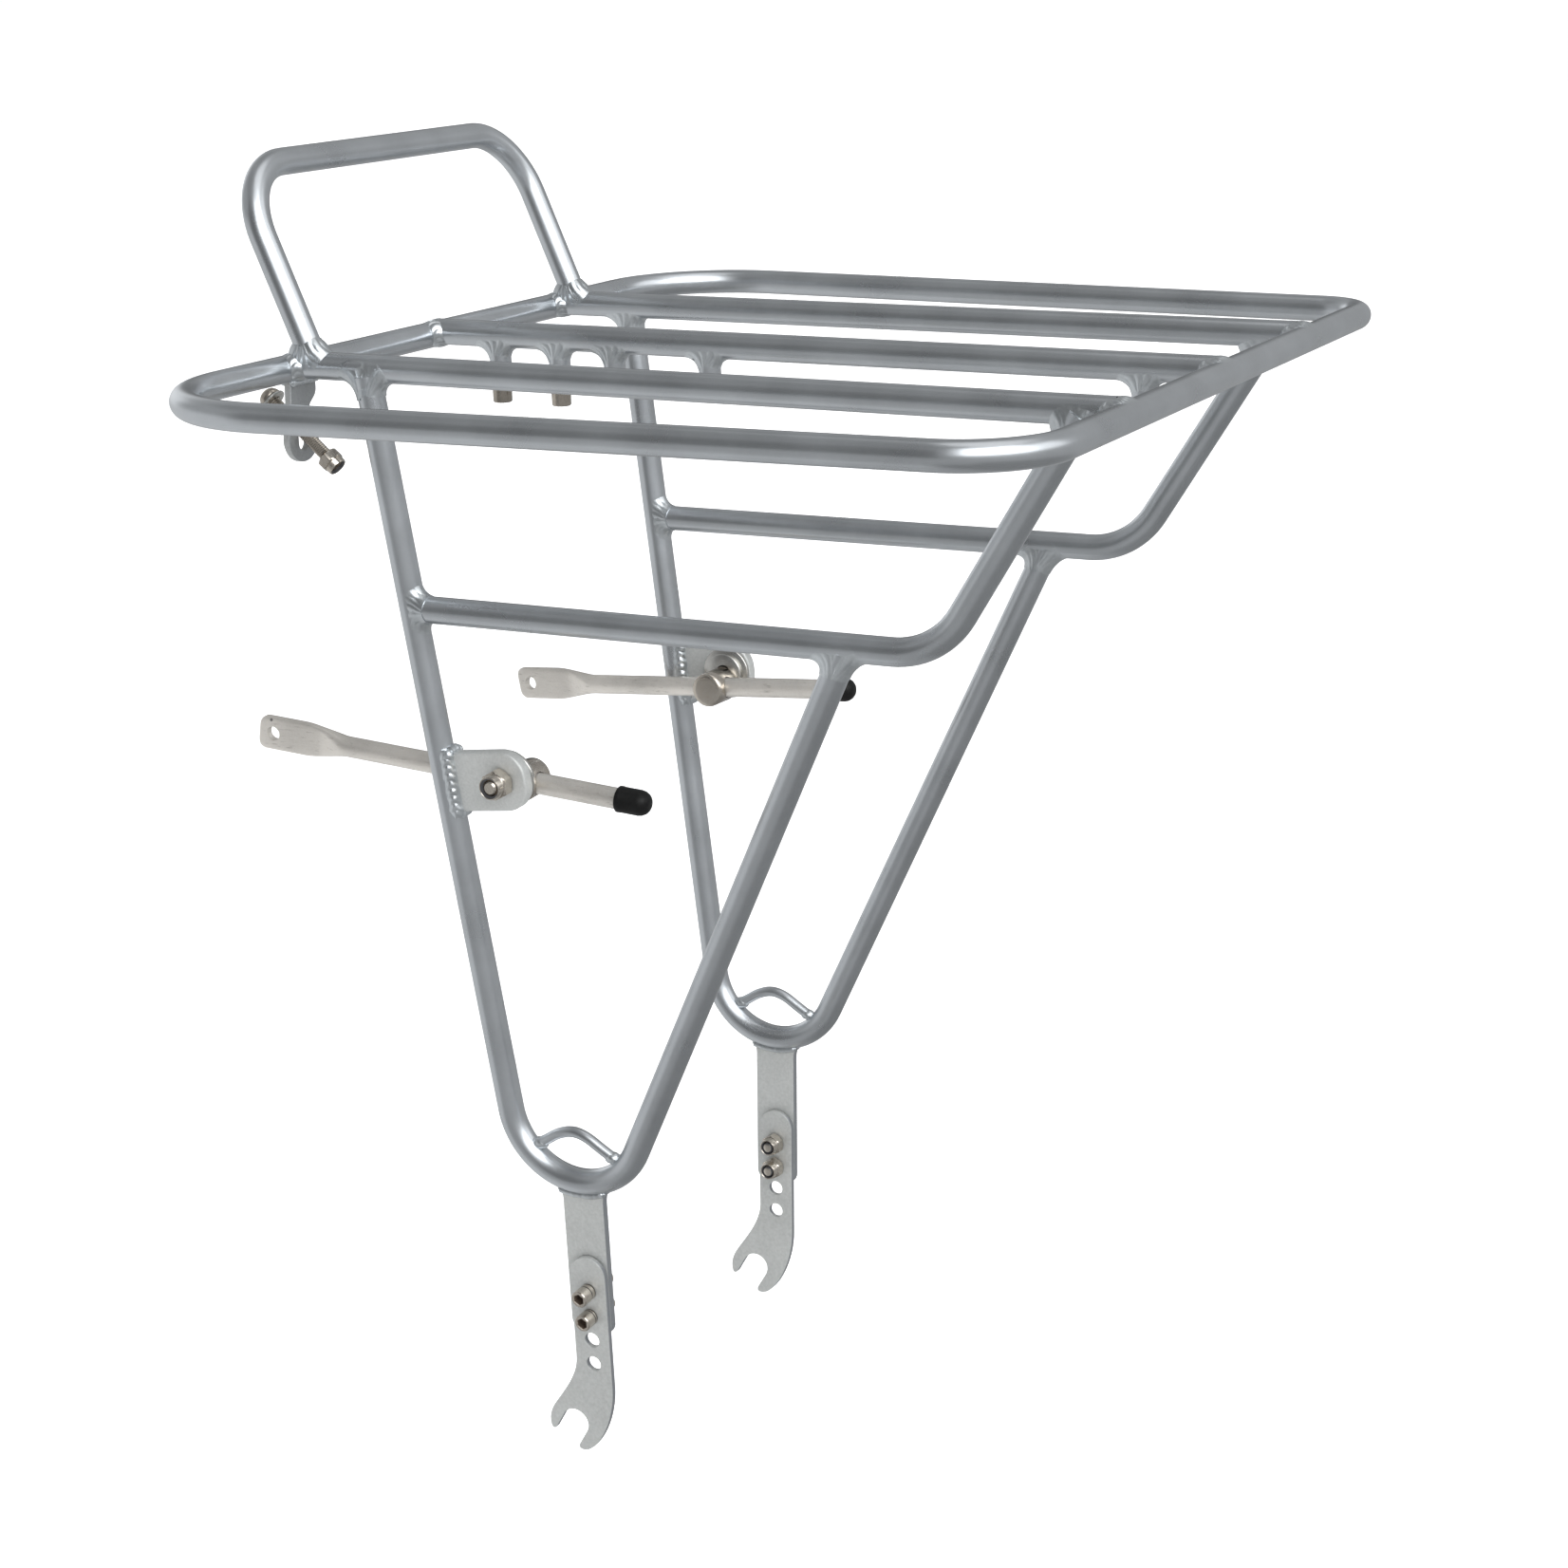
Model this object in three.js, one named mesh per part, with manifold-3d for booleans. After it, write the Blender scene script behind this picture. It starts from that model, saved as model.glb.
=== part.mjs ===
// Bicycle luggage rack: a welded deck of bent aluminium rod on two V-shaped side frames, with bolted
// axle hooks and a pair of adjustable stay rods. Millimetres, +Z up, +X from the hoop end of the deck
// to its open end, +Y to the left. While it is laid out x = 0 is the centreline of the cross rod at
// the hoop end, y = 0 is the middle rail and z = 0 is the centreline of the deck loop; the last
// section moves the rack so that the origin is the bottom centre of its bounding box.
import * as THREE from 'three';
import { mergeVertices } from 'three/addons/utils/BufferGeometryUtils.js';
import Module from 'manifold-3d';

const wasm = await Module();
wasm.setup();
const { degToRad, radToDeg } = THREE.MathUtils;

// ---------------------------------------------------------------- shared dimensions
const ROD_R = 5;                 // every bent rod of the frame is 10 mm
const ROD_SIDES = 14;            // flats around a rod
const GAP = 0.3;                 // clearance left at welds and between stacked pieces
const CUT_R = ROD_R + GAP + 0.05;   // rod-shaped cutter that leaves the weld clearance
const CUT_SIDES = 24;            // flats around a straight cutter
const BENT_CUT_SIDES = 20;       // flats around a bent cutter
const SMALL_SIDES = 14;          // flats around screw shanks and small holes

const DECK_LENGTH = 321.9;       // centreline of one cross rod to the other
const RAIL_Y = 89.4;             // outer lengthwise rails
const RAIL_Z = 1.3;              // the rails sit a little above the loop

// ---------------------------------------------------------------- materials
const metal = (color, roughness, metalness) =>
  new THREE.MeshStandardMaterial({ color, roughness, metalness });
const rodAluminium = () => metal(0xaab0b4, 0.38, 0.9);
const plateAluminium = () => metal(0xa9adac, 0.5, 0.85);
const steel = () => metal(0xbdb4a8, 0.28, 1.0);
const stayMetal = () => metal(0xc9c3b8, 0.35, 0.9);
const rubber = () =>
  new THREE.MeshStandardMaterial({ color: 0x151515, roughness: 0.6, metalness: 0.0 });

// ---------------------------------------------------------------- solids
const vec = (x, y, z) => new THREE.Vector3(x, y, z);
const join = (...bodies) => bodies.reduce((a, b) => a.add(b));
const cut = (body, ...tools) => tools.reduce((a, b) => a.subtract(b), body);

function solid(geometry) {
  geometry.deleteAttribute('normal');
  geometry.deleteAttribute('uv');
  const welded = mergeVertices(geometry, 1e-4);
  return new wasm.Manifold(new wasm.Mesh({
    numProp: 3,
    vertProperties: new Float32Array(welded.getAttribute('position').array),
    triVerts: new Uint32Array(welded.index.array),
  }));
}

function toGeometry(body) {
  const { vertProperties, triVerts } = body.getMesh();
  const geometry = new THREE.BufferGeometry();
  geometry.setAttribute('position', new THREE.BufferAttribute(new Float32Array(vertProperties), 3));
  geometry.setIndex(new THREE.BufferAttribute(new Uint32Array(triVerts), 1));
  geometry.computeVertexNormals();
  return geometry;
}

function put(parent, name, body, material) {
  const mesh = new THREE.Mesh(toGeometry(body), material);
  mesh.name = name;
  parent.add(mesh);
}

// A curve stepped exactly at its own stations, so straights cost one step and bends several.
class StationCurve extends THREE.Curve {
  constructor(points, tangents) {
    super();
    this.points = points;
    this.tangents = tangents;
  }

  at(list, u) {
    const place = u * (list.length - 1);
    const i = Math.min(Math.floor(place + 1e-9), list.length - 2);
    return list[i].clone().lerp(list[i + 1], place - i);
  }

  getTangentAt(u) {
    return this.at(this.tangents, u).normalize();
  }

  getSpacedPoints(n) {
    return Array.from({ length: n + 1 }, (_, i) => this.at(this.points, i / n));
  }
}

// Centreline through the corner points, each inner corner rounded to its bend radius.
function bentPath(corners, radii, stepDeg) {
  const last = corners.length - 1;
  const heading = (i) => corners[i + 1].clone().sub(corners[i]).normalize();
  const points = [corners[0].clone()];
  const tangents = [heading(0)];
  for (let i = 1; i < last; i++) {
    const before = heading(i - 1);
    const after = heading(i);
    const turn = before.angleTo(after);
    const radius = radii[i - 1];
    const steps = Math.max(2, Math.round(radToDeg(turn) / stepDeg));
    const start = corners[i].clone().addScaledVector(before, -radius * Math.tan(turn / 2));
    const inward = after.clone().addScaledVector(before, -after.dot(before)).normalize();
    const centre = start.clone().addScaledVector(inward, radius);
    for (let k = 0; k <= steps; k++) {
      const angle = turn * k / steps;
      const cos = Math.cos(angle);
      const sin = Math.sin(angle);
      points.push(centre.clone().addScaledVector(inward, -radius * cos)
        .addScaledVector(before, radius * sin));
      tangents.push(before.clone().multiplyScalar(cos).addScaledVector(inward, sin).normalize());
    }
  }
  points.push(corners[last].clone());
  tangents.push(heading(last - 1));
  return new StationCurve(points, tangents);
}

function rodAlong(curve, radius, sides) {
  const ring = new THREE.Shape(Array.from({ length: sides }, (_, i) => {
    const angle = (i + 0.5) * 2 * Math.PI / sides;
    return new THREE.Vector2(radius * Math.cos(angle), radius * Math.sin(angle));
  }));
  const steps = curve.points.length - 1;
  return solid(new THREE.ExtrudeGeometry(ring, { steps, extrudePath: curve, bevelEnabled: false }));
}

function bentRod(corners, radii, { radius = ROD_R, sides = ROD_SIDES, stepDeg = 15 } = {}) {
  return rodAlong(bentPath(corners, radii, stepDeg), radius, sides);
}

// Straight round bar between two points; it may taper to another radius at the far end.
function bar(from, to, radius, sides = 16, endRadius = radius) {
  const run = to.clone().sub(from);
  const geometry = new THREE.CylinderGeometry(endRadius, radius, run.length(), sides);
  geometry.rotateY(Math.PI / sides);
  geometry.applyQuaternion(
    new THREE.Quaternion().setFromUnitVectors(vec(0, 1, 0), run.clone().normalize()));
  geometry.translate((from.x + to.x) / 2, (from.y + to.y) / 2, (from.z + to.z) / 2);
  return solid(geometry);
}

// Bars parallel to one axis.
const barX = (x0, x1, radius, sides, endRadius) =>
  bar(vec(x0, 0, 0), vec(x1, 0, 0), radius, sides, endRadius);
const barY = (y0, y1, x, z, radius, sides) =>
  bar(vec(x, y0, z), vec(x, y1, z), radius, sides);
const barZ = (z0, z1, x, radius, sides) => bar(vec(x, 0, z0), vec(x, 0, z1), radius, sides);

// Washer around an axis parallel to Y.
function washer(y0, y1, x, z, radius, bore, sides) {
  const dir = Math.sign(y1 - y0);
  return cut(barY(y0, y1, x, z, radius, sides), barY(y0 - dir, y1 + dir, x, z, bore, SMALL_SIDES));
}

// Lock nut around an axis parallel to Y: hexagon at the seat, round collar at the far end.
function lockNut({ seat, end, x, z, acrossFlats, collarR, bore }) {
  const dir = Math.sign(end - seat);
  const hexEnd = seat + (end - seat) * 0.62;
  const hex = barY(seat, hexEnd, x, z, acrossFlats / 2 / Math.cos(Math.PI / 6), 6);
  const collar = barY(hexEnd - dir * 0.5, end, x, z, collarR, 16);
  return cut(join(hex, collar), barY(seat - dir, end + dir, x, z, bore, SMALL_SIDES));
}

// Flat plate: outline drawn in X and Z, thickness from y0 to y1.
function plate(shape, y0, y1, curveSegments = 8) {
  const geometry = new THREE.ExtrudeGeometry(shape,
    { depth: y1 - y0, bevelEnabled: false, curveSegments });
  geometry.rotateX(Math.PI / 2);
  geometry.translate(0, y1, 0);
  return solid(geometry);
}

// Each move is a line, [end], or a Bezier curve, [control 1, control 2, end], as coordinate pairs.
function trace(shape, moves) {
  for (const move of moves) {
    if (move.length === 2) shape.lineTo(...move);
    else shape.bezierCurveTo(...move);
  }
}

// Solid of revolution about Y; profile rows are [radius, y].
const lathe = (profile, sides) =>
  new THREE.LatheGeometry(profile.map(([r, y]) => new THREE.Vector2(r, y)), sides);

const rack = new THREE.Group();

// ---------------------------------------------------------------- deck
const DECK_HALF_HOOP = 187.7;    // half width of the loop at the hoop end
const DECK_HALF_OPEN = 169.2;    // half width at the open end: the deck narrows
const DECK_BENDS = { hoopRight: 53, hoopLeft: 47, openRight: 32, openLeft: 20 };
const LOOP_OVERLAP = 1;          // each half of the loop runs this far past the middle

const hoopCrossCut = barY(-150, 150, 0, 0, CUT_R, CUT_SIDES);
const openCrossCut = barY(-140, 140, DECK_LENGTH, 0, CUT_R, CUT_SIDES);
const railCut = (y) =>
  bar(vec(-20, y, RAIL_Z), vec(DECK_LENGTH + 20, y, RAIL_Z), CUT_R, CUT_SIDES);

// Both halves run round their own end of the deck.
function deckLoop() {
  const sidePoint = (x, sign) =>
    vec(x, sign * (DECK_HALF_HOOP + (DECK_HALF_OPEN - DECK_HALF_HOOP) * x / DECK_LENGTH), 0);
  const hoopHalfEnd = DECK_LENGTH / 2 + LOOP_OVERLAP;
  const openHalfEnd = DECK_LENGTH / 2 - LOOP_OVERLAP;
  const hoopHalf = bentRod([
    sidePoint(hoopHalfEnd, -1),
    vec(0, -DECK_HALF_HOOP, 0),
    vec(0, DECK_HALF_HOOP, 0),
    sidePoint(hoopHalfEnd, 1),
  ], [DECK_BENDS.hoopRight, DECK_BENDS.hoopLeft], { stepDeg: 12 });
  const openHalf = bentRod([
    sidePoint(openHalfEnd, 1),
    vec(DECK_LENGTH, DECK_HALF_OPEN, 0),
    vec(DECK_LENGTH, -DECK_HALF_OPEN, 0),
    sidePoint(openHalfEnd, -1),
  ], [DECK_BENDS.openLeft, DECK_BENDS.openRight], { stepDeg: 12 });
  return join(hoopHalf, openHalf);
}

function deckRail(y) {
  const rail = bentRod([vec(0, y, RAIL_Z), vec(DECK_LENGTH, y, RAIL_Z)], []);
  return cut(rail, hoopCrossCut, openCrossCut);
}

put(rack, 'deck_loop', deckLoop(), rodAluminium());
for (const [name, y] of [['left', RAIL_Y], ['center', 0], ['right', -RAIL_Y]]) {
  put(rack, `deck_rail_${name}`, deckRail(y), rodAluminium());
}

// ---------------------------------------------------------------- end hoop
const HOOP_FOOT_X = 11.5;        // the hoop stands on the rails just inside the cross rod
const HOOP_LEAN = -0.4314;       // dx/dz of its legs
const HOOP_HEIGHT = 70.6;
const HOOP_BEND = 27;
const HOOP_TRIM_Z = 1.2;         // the hoop's feet are cut off below this

function endHoop() {
  const topX = HOOP_FOOT_X + HOOP_LEAN * HOOP_HEIGHT;
  const hoop = bentRod([
    vec(HOOP_FOOT_X, -RAIL_Y, 0),
    vec(topX, -RAIL_Y, HOOP_HEIGHT),
    vec(topX, RAIL_Y, HOOP_HEIGHT),
    vec(HOOP_FOOT_X, RAIL_Y, 0),
  ], [HOOP_BEND, HOOP_BEND]);
  const trimDepth = 8;
  const trim = new THREE.BoxGeometry(60, 260, trimDepth);
  trim.translate(10, 0, HOOP_TRIM_Z - trimDepth / 2);
  return cut(hoop, railCut(-RAIL_Y), railCut(RAIL_Y), hoopCrossCut, solid(trim));
}

put(rack, 'end_hoop', endHoop(), rodAluminium());

// ---------------------------------------------------------------- bosses under the middle rail
const BOSS_X = [30.9, 57.6, 82.0, 123.0, 293.2];
const BOSS_SCREWS = 2;           // the first bosses carry a screw
const BOSS_R = 4.3;
const BOSS_TOP = -2.5;
const BOSS_END = -16;
const EMPTY_BORE = { top: -7.5, radius: 2.1 };
const SCREWED_BORE = { top: -6.5, radius: 2.8 };
const BOSS_SCREW = {
  headR: 3.75, headTop: -18.6, headEnd: -24.6,
  shankR: 2.45, shankTop: -8, shankEnd: -20,
  socketR: 2.3, socketTop: -21.4,
};

function boss(x, bore) {
  return cut(barZ(BOSS_TOP, BOSS_END, x, BOSS_R), railCut(0),
    barZ(bore.top, BOSS_END - 2, x, bore.radius, 12));
}

function bossScrew(x) {
  const { headR, headTop, headEnd, shankR, shankTop, shankEnd, socketR, socketTop } = BOSS_SCREW;
  const head = barZ(headTop, headEnd, x, headR);
  const shank = barZ(shankTop, shankEnd, x, shankR, SMALL_SIDES);
  return cut(join(head, shank), barZ(socketTop, -28, x, socketR, 6));
}

BOSS_X.forEach((x, i) => {
  const hasScrew = i < BOSS_SCREWS;
  put(rack, `deck_boss_${i + 1}`, boss(x, hasScrew ? SCREWED_BORE : EMPTY_BORE), rodAluminium());
  if (hasScrew) put(rack, `boss_screw_${i + 1}`, bossScrew(x), steel());
});

// ---------------------------------------------------------------- lamp plate and its loose bolt
const LAMP_PLATE_T = 3;
const LAMP_PLATE_START = [-93, -2];
const LAMP_PLATE_EDGE = [        // (y, z) moves down the inboard edge, past the narrow neck
  [-78, -2],
  [-78, -8.5],
  [-78, -13, -83.2, -12.5, -82.9, -17],
  [-82.7, -20, -78.2, -20.5, -78.2, -25.6],
];
const LAMP_PLATE_ROUND = { y: -87.2, z: -25.6, radius: 9.0 };
const LAMP_PLATE_SHOULDER = [-93.6, -14];
const LAMP_SLOT = { y: -87.3, top: -19.6, bottom: -27.6, radius: 2.95 };   // ends' centres
const LAMP_BOLT = { y: -87.4, z: -22.6, dip: Math.atan2(0.644, 0.765) };   // tip dips below +X
const LAMP_BOLT_PROFILE = [      // radius, y: head, shank, tip
  [0, -19.4], [2.2, -19.0], [3.6, -17.9], [4.3, -16.2], [4.3, -15.6],
  [2.4, -15.6], [2.4, 18.4], [1.9, 18.9], [0, 18.9],
];
const LAMP_NUT_BORE = 2.75;

function lampPlate() {
  const shape = new THREE.Shape();
  shape.moveTo(...LAMP_PLATE_START);
  trace(shape, LAMP_PLATE_EDGE);
  const { y, z, radius } = LAMP_PLATE_ROUND;
  shape.absarc(y, z, radius, 0, -Math.PI, true);
  shape.lineTo(...LAMP_PLATE_SHOULDER);
  shape.closePath();
  const slot = new THREE.Path();
  slot.absarc(LAMP_SLOT.y, LAMP_SLOT.top, LAMP_SLOT.radius, 0, Math.PI, false);
  slot.absarc(LAMP_SLOT.y, LAMP_SLOT.bottom, LAMP_SLOT.radius, Math.PI, 2 * Math.PI, false);
  slot.closePath();
  shape.holes.push(slot);
  const geometry = new THREE.ExtrudeGeometry(shape,
    { depth: LAMP_PLATE_T, bevelEnabled: false, curveSegments: 10 });
  // (y, z, thickness) -> (thickness, y, z)
  geometry.applyMatrix4(new THREE.Matrix4().set(
    0, 0, 1, -LAMP_PLATE_T / 2,
    1, 0, 0, 0,
    0, 1, 0, 0,
    0, 0, 0, 1));
  return cut(solid(geometry), hoopCrossCut);
}

// The bolt hangs loose through the slot; in its group +Y runs along it, from head to tip.
function addLampBolt() {
  const group = new THREE.Group();
  group.position.set(0, LAMP_BOLT.y, LAMP_BOLT.z);
  group.rotation.set(0, LAMP_BOLT.dip, -Math.PI / 2, 'YXZ');
  rack.add(group);
  const socket = barY(-20, -17.4, 0, 0, 1.5, 6);
  const bolt = cut(solid(lathe(LAMP_BOLT_PROFILE, 14)), socket);
  put(group, 'lamp_bolt', bolt, steel());
  put(group, 'lamp_washer', washer(-15.3, -14.3, 0, 0, 5, LAMP_NUT_BORE, 18), steel());
  put(group, 'lamp_nut', lockNut({
    seat: 14.6, end: 20.8, x: 0, z: 0, acrossFlats: 8, collarR: 3.7, bore: LAMP_NUT_BORE,
  }), steel());
}

put(rack, 'lamp_bracket', lampPlate(), plateAluminium());
addLampBolt();

// ---------------------------------------------------------------- side frame rods
// Each side frame is drawn in its own leaning plane, y = 0. In the functions below `out` is +1 on
// the left and -1 on the right, so local y times `out` points outboard.
const SIDE_Y = 91.4;             // side frame plane at deck height
const SIDE_LEAN = 0.0382;        // the planes close in by this much per mm going down
const HOOP_LEG_X = 34.5;         // centreline of the leg nearer the hoop, at deck height
const HOOP_LEG_SLOPE = 0.1295;   // dx per mm of drop
const OPEN_LEG_X = 220.8;        // centreline of the leg nearer the open end, at the low rail
const OPEN_LEG_SLOPE = -0.467;   // dx per mm of drop
const RAIL_DROP = 85.8;          // low rail below the deck, at HOOP_LEG_X
const RAIL_RISE = 0.0107;        // it climbs slightly towards the open end
const RISER_X = 307.6;           // the raised end of the low rail meets deck height here
const RISER_SLOPE = 0.6213;      // dx per mm of rise
const RAIL_BEND = 31;
const FOOT_BOTTOM = -306.2;      // lowest point of the U bend's centreline
const BRIDGE_R = 2.1;
const BRIDGE_STEPS = 12;
const BRIDGE_POINTS = [          // x, z of the wire across the U
  [77.2, -296.2], [85, -292], [91.6, -287.9], [98, -286],
  [104, -287.2], [111, -291.2], [119.5, -296.2],
];

const hoopLegX = (z) => HOOP_LEG_X - HOOP_LEG_SLOPE * z;
const openLegX = (z) => OPEN_LEG_X + OPEN_LEG_SLOPE * (-z - RAIL_DROP);
const lowRailZ = (x) => -RAIL_DROP + RAIL_RISE * (x - HOOP_LEG_X);
const riserX = (z) => RISER_X + RISER_SLOPE * z;

// V-shaped leg rod: both lines meet at an apex, rounded so that the bend ends at FOOT_BOTTOM.
function legRod(options) {
  const apexDrop = (OPEN_LEG_X - HOOP_LEG_X - OPEN_LEG_SLOPE * RAIL_DROP)
    / (HOOP_LEG_SLOPE - OPEN_LEG_SLOPE);
  const apex = vec(hoopLegX(-apexDrop), 0, -apexDrop);
  const upHoopLeg = vec(hoopLegX(0), 0, 0).sub(apex).normalize();
  const upOpenLeg = vec(openLegX(0), 0, 0).sub(apex).normalize();
  const sinHalf = Math.sin(upHoopLeg.angleTo(upOpenLeg) / 2);
  const axis = upHoopLeg.clone().add(upOpenLeg).normalize();
  const centreReach = (FOOT_BOTTOM - apex.z) / (axis.z - sinHalf);
  const hoopTop = -2.6;
  const openTop = lowRailZ(OPEN_LEG_X) - 1.4;
  const corners = [vec(hoopLegX(hoopTop), 0, hoopTop), apex, vec(openLegX(openTop), 0, openTop)];
  return bentRod(corners, [centreReach * sinHalf], { ...options, stepDeg: 11 });
}

function lowRailRod(options) {
  const startX = hoopLegX(lowRailZ(45));
  const cornerX = riserX(lowRailZ(0)) / (1 - RISER_SLOPE * RAIL_RISE);   // where both lines meet
  const endZ = -0.8;
  return bentRod([
    vec(startX, 0, lowRailZ(startX)),
    vec(cornerX, 0, lowRailZ(cornerX)),
    vec(riserX(endZ), 0, endZ),
  ], [RAIL_BEND], { ...options, stepDeg: 12 });
}

const BENT_CUT = { radius: CUT_R, sides: BENT_CUT_SIDES };
const legCut = legRod(BENT_CUT);

function footBridge() {
  const wire = new THREE.CatmullRomCurve3(BRIDGE_POINTS.map(([x, z]) => vec(x, 0, z)));
  const points = wire.getPoints(BRIDGE_STEPS);
  const tangents = points.map((_, i) => wire.getTangent(i / BRIDGE_STEPS));
  return cut(rodAlong(new StationCurve(points, tangents), BRIDGE_R, 10), legCut);
}

function addSideRods(side, name, out) {
  const deckRailCut = railCut(-out * (SIDE_Y - RAIL_Y));   // the deck rail as this plane sees it
  const hoopLegCut = bar(vec(hoopLegX(0), 0, 0), vec(hoopLegX(-200), 0, -200), CUT_R, CUT_SIDES);
  const leg = cut(legRod(), deckRailCut, lowRailRod(BENT_CUT));
  put(side, `side_leg_${name}`, leg, rodAluminium());
  put(side, `pannier_rail_${name}`, cut(lowRailRod(), deckRailCut, hoopLegCut), rodAluminium());
  put(side, `foot_bridge_${name}`, footBridge(), rodAluminium());
}

// ---------------------------------------------------------------- foot tab and dropout plate
const TAB_T = 3.2;               // foot tab thickness
const TAB_X = 101.4;
const TAB_HALF = 9.0;
const TAB_TOP = -306.5;
const TAB_END = -371.4;
const TAB_CORNER = [[0, 5.4], [2.6, 0.6], [4.4, 0]];   // inset from the edge, rise from the end
const PLATE_T = 2.2;             // dropout plate thickness
const PLATE_X = 102.6;
const PLATE_HALF = 7.9;
const PLATE_TOP = -337.8;
const PLATE_NARROWS_Z = -382.5;  // the edge nearer the hoop leaves the straight here
const FOOT_SHIFT = {             // how far each foot is moved from its drawn place
  left: { x: -1.4, z: -0.6 },
  right: { x: 0, z: 1.2 },
};
const HOLE_R = 3.0;
const HOLE_Z = [-352.1, -363.0, -373.3, -383.6];
const SLOT = { x: 92.2, z: -412.0, radius: 5.7, length: 6.9 };   // axle slot: round end, then flanks
const MOUTH = { x: -0.5, z: -0.866 };   // direction in which the slot opens
const FOOT_SCREW = {
  headHeights: [7.0, 5.9], headR: 3.35, shankR: 2.45, socketR: 2.2, socketDepth: 3.4,
};
const FOOT_NUT = { height: 7.2, acrossFlats: 8, collarR: 3.6, bore: 2.75 };
const FOOT_SCREW_SHORT = 0.7;    // the screw stops this far inside its nut

function footTab(shift) {
  const x0 = TAB_X - TAB_HALF + shift.x;
  const x1 = TAB_X + TAB_HALF + shift.x;
  const end = TAB_END + shift.z;
  const outline = [
    ...TAB_CORNER.map(([inset, rise]) => [x0 + inset, end + rise]),
    ...TAB_CORNER.map(([inset, rise]) => [x1 - inset, end + rise]).reverse(),
    [x1, TAB_TOP],
    [x0, TAB_TOP],
  ];
  const shape = new THREE.Shape(outline.map(([x, z]) => new THREE.Vector2(x, z)));
  const holes = HOLE_Z.slice(0, 2).map((z) =>
    barY(-5, 5, PLATE_X + shift.x, z + shift.z, HOLE_R, SMALL_SIDES));
  return cut(plate(shape, -TAB_T / 2, TAB_T / 2), legCut, ...holes);
}

// Plate on the tab's right-hand face, with four holes and the open axle hook.
function dropoutPlate() {
  const { x, z, radius, length } = SLOT;
  const x0 = PLATE_X - PLATE_HALF;
  const x1 = PLATE_X + PLATE_HALF;
  const shape = new THREE.Shape();
  shape.moveTo(x0, PLATE_NARROWS_Z);
  shape.lineTo(x0, PLATE_TOP - PLATE_HALF);
  shape.absarc(PLATE_X, PLATE_TOP - PLATE_HALF, PLATE_HALF, Math.PI, 0, true);
  trace(shape, [
    [x1, -393],
    [x1, -404, 105.2, -417.5, 98.3, -422.5],
    [96.1, -424.2, 92.1, -424.4, 93.2, -421.6],
    [x - MOUTH.z * radius, z + MOUTH.x * radius],
  ]);
  shape.absarc(x, z, radius, -Math.PI / 6, Math.PI * 5 / 6, false);
  trace(shape, [
    [x + MOUTH.z * radius + MOUTH.x * length, z - MOUTH.x * radius + MOUTH.z * length],
    [83.1, -416.7, 81.5, -417.9, 80.8, -416.2],
    [79.9, -413.2, 80.5, -409.6, 83.1, -405.8],
    [87.0, -399.8, x0 - 0.2, -391, x0, PLATE_NARROWS_Z],
  ]);
  const holes = HOLE_Z.map((holeZ) => barY(-9, 1, PLATE_X, holeZ, HOLE_R, SMALL_SIDES));
  return cut(plate(shape, -TAB_T / 2 - GAP - PLATE_T, -TAB_T / 2 - GAP, 7), ...holes);
}

// Screw with its head outboard and its lock nut inboard.
function addFootScrew(foot, name, out, i) {
  const { headHeights, headR, shankR, socketR, socketDepth } = FOOT_SCREW;
  const z = HOLE_Z[i];
  const rightFace = -TAB_T / 2 - GAP - PLATE_T - GAP;
  const leftFace = TAB_T / 2 + GAP;
  const [headFace, nutFace] = out < 0 ? [rightFace, leftFace] : [leftFace, rightFace];
  const headEnd = headFace + out * headHeights[i];
  const nutEnd = nutFace - out * FOOT_NUT.height;
  const head = barY(headFace, headEnd, PLATE_X, z, headR);
  const tip = nutEnd + out * FOOT_SCREW_SHORT;
  const shank = barY(headFace + out * 0.5, tip, PLATE_X, z, shankR, SMALL_SIDES);
  const socket = barY(headEnd - out * socketDepth, headEnd + out, PLATE_X, z, socketR, 6);
  const nut = lockNut({ seat: nutFace, end: nutEnd, x: PLATE_X, z, ...FOOT_NUT });
  put(foot, `dropout_screw_${name}_${i + 1}`, cut(join(head, shank), socket), steel());
  put(foot, `dropout_nut_${name}_${i + 1}`, nut, steel());
}

function addFoot(side, name, out) {
  const shift = FOOT_SHIFT[name];
  put(side, `foot_tab_${name}`, footTab(shift), plateAluminium());
  const foot = new THREE.Group();
  foot.position.set(shift.x, 0, shift.z);
  side.add(foot);
  put(foot, `dropout_plate_${name}`, dropoutPlate(), plateAluminium());
  for (let i = 0; i < 2; i++) addFootScrew(foot, name, out, i);
}

// ---------------------------------------------------------------- stay tab and clamp
const STAY_TAB_T = 5;
const STAY_TAB_HALF = 11.35;
const STAY_TAB_Z = -151.0;       // where the tab's centre line meets the leg axis
const STAY_TAB_START = 3;        // along the tab from the leg axis, as are the next two
const STAY_BOLT_ALONG = 26.0;
const STAY_TAB_END = 36.4;
const STAY_TAB_CORNER_R = 10;
const BOLT_R = 3;                // M6 eye bolt
const BOLT_CLEAR = 3.3;
const EYE_R = 7;                 // eye of the eye bolt
const EYE_DROP = 4.4;            // the eye is forged off centre, below the shank
const EYE_IN = 13;               // stay rod axis inboard of the side frame plane
const EYE_SPAN = { near: 6.8, taper: 19.8, far: 21 };   // inboard of the side frame plane
const EYE_TAPER = 1.2;           // loss of radius at the inboard end
const STAY_BORE = 4.3;
const LARGE_WASHER = { radius: 10.4, thickness: 1.6 };
const SMALL_WASHER_R = 8;
const CLAMP_NUT = { height: 8, acrossFlats: 10, collarR: 4.5, bore: BOLT_CLEAR };

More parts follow.
